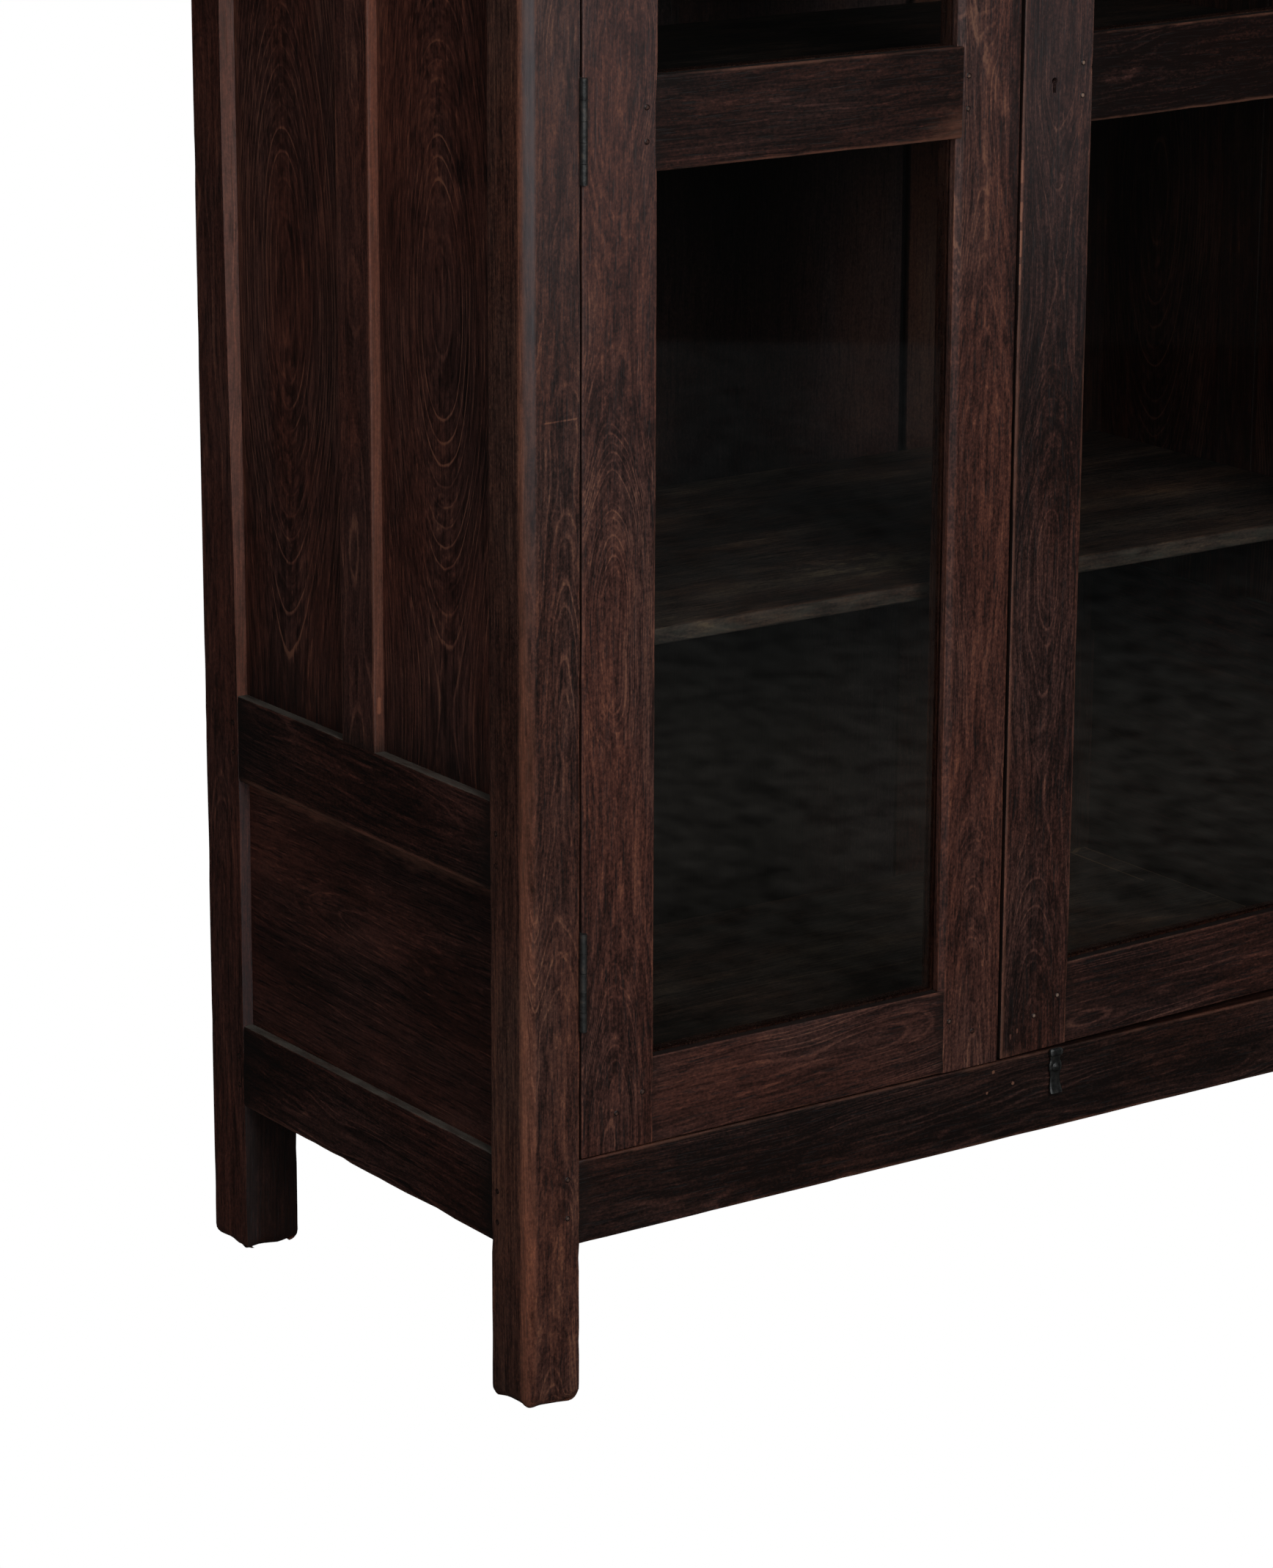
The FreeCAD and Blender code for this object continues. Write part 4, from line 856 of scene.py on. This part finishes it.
def strap():
    """Forged turn button: a stepped head, a round boss and a lower arm that bends forward to a lip."""
    px, pz = 493.0, 172.4
    st = [(15.0, 4.4, -0.9, -2.0, 0.9), (14.7, 5.5, -0.65, -3.3, 1.0), (13.6, 6.0, -0.6, -4.0, 0.9), (10.4, 6.0, -0.6, -4.2, 0.55), (9.4, 5.7, -0.6, -3.7, 0.7),
          (8.7, 5.2, -0.6, -2.6, 0.1), (6.2, 4.6, -0.6, -2.4, 0.1), (4.6, 5.1, -0.6, -2.5, 0.2), (2.4, 5.9, -0.6, -2.8, 0.4), (0.0, 6.1, -0.6, -2.9, 0.4),
          (-2.4, 5.9, -0.6, -2.8, 0.4), (-4.6, 5.1, -0.6, -2.5, 0.2), (-7.0, 4.5, -0.6, -2.4, 0.1), (-11.0, 4.7, -0.6, -2.5, 0.15), (-14.5, 5.1, -0.7, -2.9, 0.3),
          (-17.0, 5.5, -1.1, -3.7, 0.45), (-19.2, 5.8, -1.7, -4.6, 0.8), (-20.8, 5.7, -2.2, -5.1, 1.0), (-21.4, 4.8, -2.9, -4.7, 0.9)]
    V, A, F = [], [], []
    for dz, w, yb, yf, wr in st:
        for x, y, g in ((-w + 0.5, yb, 0), (w - 0.5, yb, 0), (w, yb - 0.4, 0.3), (w, yf + 0.7, 0.8), (w - 0.8, yf + 0.12, 1.0), (w * 0.4, yf, 0.35),
                        (-w * 0.4, yf, 0.35), (-w + 0.8, yf + 0.12, 1.0), (-w, yf + 0.7, 0.8), (-w, yb - 0.4, 0.3)):
            V.append((px + x, y, pz + dz))
            A.append((min(1.0, 0.45 * g + 0.6 * wr * (0.4 + 0.6 * g)), 0, 0, 0, 0))
    n = 10
    for i in range(len(st) - 1):
        F += [(i * n + j, i * n + (j + 1) % n, (i + 1) * n + (j + 1) % n, (i + 1) * n + j) for j in range(n)]
    F += [tuple(range(n)), tuple((len(st) - 1) * n + j for j in range(n - 1, -1, -1))]
    return new_object("turn_button_strap", np.array(V), F, np.array(A), smooth=28.0)


ob = dress(strap(), IRON)
stand_for(ob, "turn_button", "turn_button")

# lock: a case let into the stile under a screwed plate
plate = sweep("lock_plate", rect(26.3, 28.4, 908.5, 964.5, r=0.7, w=0.7), "X", 440.6, 487.6, ends=(0.7, 0.7), wob=0.05, chip=0.1, seed=140)
case = sweep("lock_box", rect(15.2, 26.6, 911, 962, r=0.7, w=0.2), "X", 474.0, 485.5, ends=(0.5, 0.5), wob=0.0, chip=0.0, seed=141)
heads = domes("lock_screws", [((x, 28.4, z), (0, 1, 0), 2.5, 0.7, 0.9) for x in (444.5, 483.5) for z in (912.5, 960.5)])
ob = dress(one_piece("lock_case_and_plate", [plate, case, heads]), IRON)
stand_for(ob, "right_door_lock_case", "right_door")


# keyhole, and the way of the bolt through the two meeting stiles
def prism(name, pts, axis, l0, l1):
    ia, ib, ic = AX[axis]
    V = np.zeros((2 * len(pts), 3))
    for i, q in enumerate(pts):
        for k, ll in enumerate((l0, l1)):
            V[i + k * len(pts), ia], V[i + k * len(pts), ib], V[i + k * len(pts), ic] = q[0], q[1], ll
    n = len(pts)
    F = [(j, (j + 1) % n, n + (j + 1) % n, n + j) for j in range(n)] + [tuple(range(n)), tuple(range(2 * n - 1, n - 1, -1))]
    return new_object(name, V, F, np.zeros((2 * n, 5)))


def carve(ob, cutters):
    for c in cutters:
        md = ob.modifiers.new(c.name, "BOOLEAN")
        md.operation, md.solver, md.object = "DIFFERENCE", "EXACT", c
    bpy.context.view_layer.update()
    me = bpy.data.meshes.new_from_object(ob.evaluated_get(bpy.context.evaluated_depsgraph_get()))
    ob.modifiers.clear()
    ob.data = me
    me.set_sharp_from_angle(angle=math.radians(35))
    # the walls of a cut are darkened as painted shade, the face round it is as the rest of the stile, with a painted
    # sheen
    co = np.zeros(len(me.vertices) * 3, dtype=np.float32)
    me.vertices.foreach_get("co", co)
    co = co.reshape(-1, 3) * 1000.0 + OFF
    wgd = np.zeros(len(co) * 4, dtype=np.float32)
    me.attributes["wgd"].data.foreach_get("color", wgd)
    wgd = wgd.reshape(-1, 4)
    sheen_paint = np.zeros(len(co), dtype=np.float32)
    me.attributes["haze"].data.foreach_get("value", sheen_paint)
    for c in cutters:
        q = np.array([v.co for v in c.data.vertices]) * 1000.0 + OFF
        near = np.all((co > q.min(0) - 0.6) & (co < q.max(0) + 0.6), axis=1)
        face = near & (co[:, 1] < 1.0)
        wgd[near] = (0, 1, 0, 0)
        wgd[face] = (0, 0, 0, 0)
        sheen_paint[near] = 0.0
        sheen_paint[face] = 0.18
        bpy.data.objects.remove(c)
    me.attributes["wgd"].data.foreach_set("color", wgd.ravel())
    me.attributes["haze"].data.foreach_set("value", sheen_paint)


key = [(466.6, 930.9), (469.4, 930.9)] + [(468.0 + 2.6 * math.cos(t), 939.7 + 2.6 * math.sin(t)) for t in np.linspace(-1.0, math.pi + 1.0, 14)]
carve(made["right_door_meeting_stile"], [prism("key_cut", key, "Y", -3.0, 14.0),
                                         prism("bolt_cut", [(17.1, 927.6), (24.9, 927.6), (24.9, 944.4), (17.1, 944.4)], "X", 437.0, 473.5)])
carve(made["left_door_meeting_stile"], [prism("strike_cut", [(16.9, 927.4), (25.1, 927.4), (25.1, 944.6), (16.9, 944.6)], "X", 424.4, 438.0)])

# ------------------------------------------------------------------ stage, light, camera
floor_me = bpy.data.meshes.new("studio_floor")
# the floor reaches far behind the cabinet and ends some way in front of it, square to the mirrored line of sight
d1, d2 = np.array([0.5746, -0.8184]), np.array([0.8184, 0.5746])
corners = [d1 * 4.03 - d2 * 30, d1 * 4.03 + d2 * 30, -d1 * 40 + d2 * 30, -d1 * 40 - d2 * 30]
floor_me.from_pydata([(float(c[0]), float(c[1]), 0.0) for c in corners], [], [(0, 1, 2, 3)])
floor = bpy.data.objects.new("studio_floor", floor_me)
scene.collection.objects.link(floor)
m, nt, out = fresh("pale_floor")
lp = node(nt, "ShaderNodeLightPath")
em = node(nt, "ShaderNodeEmission")
em.inputs[0].default_value = (1, 1, 1, 1)
em.inputs[1].default_value = 1.0
df = node(nt, "ShaderNodeBsdfDiffuse")
df.inputs[0].default_value = (0.30, 0.30, 0.29, 1)
# in mirror reflections the studio floor is dim and mottled
tc = node(nt, "ShaderNodeTexCoord")
fn = noise4(nt, tc.outputs["Object"], 4.0, scale=24.0, detail=6.0, rough=0.75)
eg = node(nt, "ShaderNodeEmission")
away = vm(nt, "DOT_PRODUCT", tc.outputs["Object"], (float(d1[0]), float(d1[1]), 0.0))
fcol = ramp(nt, fn, [(0.38, (0.030, 0.0280, 0.0268)), (0.62, (0.152, 0.138, 0.126))])
nt.links.new(mixc(nt, rng(nt, away, 1.6, 2.8), fcol, mixc(nt, 1.0, fcol, (0.86, 1.0, 1.14), "MULTIPLY")), eg.inputs[0])
aside = vm(nt, "DOT_PRODUCT", tc.outputs["Object"], (float(d2[0]), float(d2[1]), 0.0))
fade = mth(nt, "SUBTRACT", 1.0, mth(nt, "MULTIPLY", rng(nt, aside, 0.05, 0.22), rng(nt, away, 1.9, 3.8, 0.0, 0.95)))
nt.links.new(mth(nt, "MULTIPLY", fade, mth(nt, "MULTIPLY", rng(nt, away, 1.6, 2.8, 1.0, 0.40), rng(nt, away, 0.8, 1.5, 0.30, 1.0))), eg.inputs[1])
mg = node(nt, "ShaderNodeMixShader")
nt.links.new(lp.outputs["Is Glossy Ray"], mg.inputs[0])
nt.links.new(df.outputs[0], mg.inputs[1])
nt.links.new(eg.outputs[0], mg.inputs[2])
mx = node(nt, "ShaderNodeMixShader")
nt.links.new(lp.outputs["Is Camera Ray"], mx.inputs[0])
nt.links.new(mg.outputs[0], mx.inputs[1])
nt.links.new(em.outputs[0], mx.inputs[2])
nt.links.new(mx.outputs[0], out.inputs[0])
floor_me.materials.append(m)

world = bpy.data.worlds.new("studio")
scene.world = world
world.use_nodes = True
nt = world.node_tree
nt.nodes.clear()
wo = node(nt, "ShaderNodeOutputWorld")
lp = node(nt, "ShaderNodeLightPath")
b_cam = node(nt, "ShaderNodeBackground")
b_cam.inputs[0].default_value = (1, 1, 1, 1)
b_cam.inputs[1].default_value = 1.0
b_amb = node(nt, "ShaderNodeBackground")
b_amb.inputs[0].default_value = (1.0, 0.98, 0.96, 1)
b_amb.inputs[1].default_value = 0.04
b_gl = node(nt, "ShaderNodeBackground")
b_gl.inputs[0].default_value = (1, 1, 1, 1)
b_gl.inputs[1].default_value = 0.008
m1 = node(nt, "ShaderNodeMixShader")
m2 = node(nt, "ShaderNodeMixShader")
nt.links.new(lp.outputs["Is Glossy Ray"], m1.inputs[0])
nt.links.new(b_amb.outputs[0], m1.inputs[1])
nt.links.new(b_gl.outputs[0], m1.inputs[2])
nt.links.new(lp.outputs["Is Camera Ray"], m2.inputs[0])
nt.links.new(m1.outputs[0], m2.inputs[1])
nt.links.new(b_cam.outputs[0], m2.inputs[2])
nt.links.new(m2.outputs[0], wo.inputs[0])


def softbox(name, loc, target, size, power, color=(1, 1, 1)):
    la = bpy.data.lights.new(name, "AREA")
    la.shape = "RECTANGLE"
    la.size, la.size_y = size
    la.energy = power
    la.color = color
    ob = bpy.data.objects.new(name, la)
    scene.collection.objects.link(ob)
    ob.location = loc
    ob.rotation_euler = (Vector(target) - Vector(loc)).to_track_quat("-Z", "Y").to_euler()
    return ob


softbox("key", (-0.85, -4.05, 2.5), (-0.2, -0.2, 0.75), (2.0, 2.0), 150, (0.98, 0.985, 1.0))
softbox("fill_left", (-3.35, -3.05, 1.9), (-0.2, -0.1, 0.7), (1.0, 1.6), 66, (0.98, 0.985, 1.0))
softbox("top", (-0.2, -1.6, 3.9), (-0.1, -0.1, 0.9), (2.6, 1.6), 8)
# the back and the right-hand side have lights of their own, which reach neither the front nor the left
softbox("back", (0.7, 3.9, 2.2), (0.0, 0.2, 0.9), (2.2, 2.0), 150, (0.98, 0.985, 1.0))
softbox("right", (3.7, 0.9, 1.9), (0.4, 0.0, 0.9), (1.4, 1.8), 90, (0.98, 0.985, 1.0))

az, el, roll = math.radians(35.075), math.radians(15.908), math.radians(0.216)
b = Vector((-math.sin(az) * math.cos(el), -math.cos(az) * math.cos(el), math.sin(el)))
tgt = Vector(row((95.8, 0.0, 463.8)))
loc = tgt + b * 3.641
fw = -b
right = fw.cross(Vector((0, 0, 1))).normalized()
up = right.cross(fw)
r2 = right * math.cos(roll) + up * math.sin(roll)
u2 = -right * math.sin(roll) + up * math.cos(roll)
cam = bpy.data.cameras.new("camera")
cam.sensor_fit = "VERTICAL"
cam.sensor_width = 36.0
cam.sensor_height = 36.0
cam.lens = 6915.1 / 2138.0 * 36.0
cam.clip_end = 200.0
co = bpy.data.objects.new("camera", cam)
scene.collection.objects.link(co)
co.matrix_world = Matrix(((r2.x, u2.x, b.x, loc.x), (r2.y, u2.y, b.y, loc.y), (r2.z, u2.z, b.z, loc.z), (0, 0, 0, 1)))
scene.camera = co

scene.view_settings.view_transform = "Standard"
scene.view_settings.look = "None"
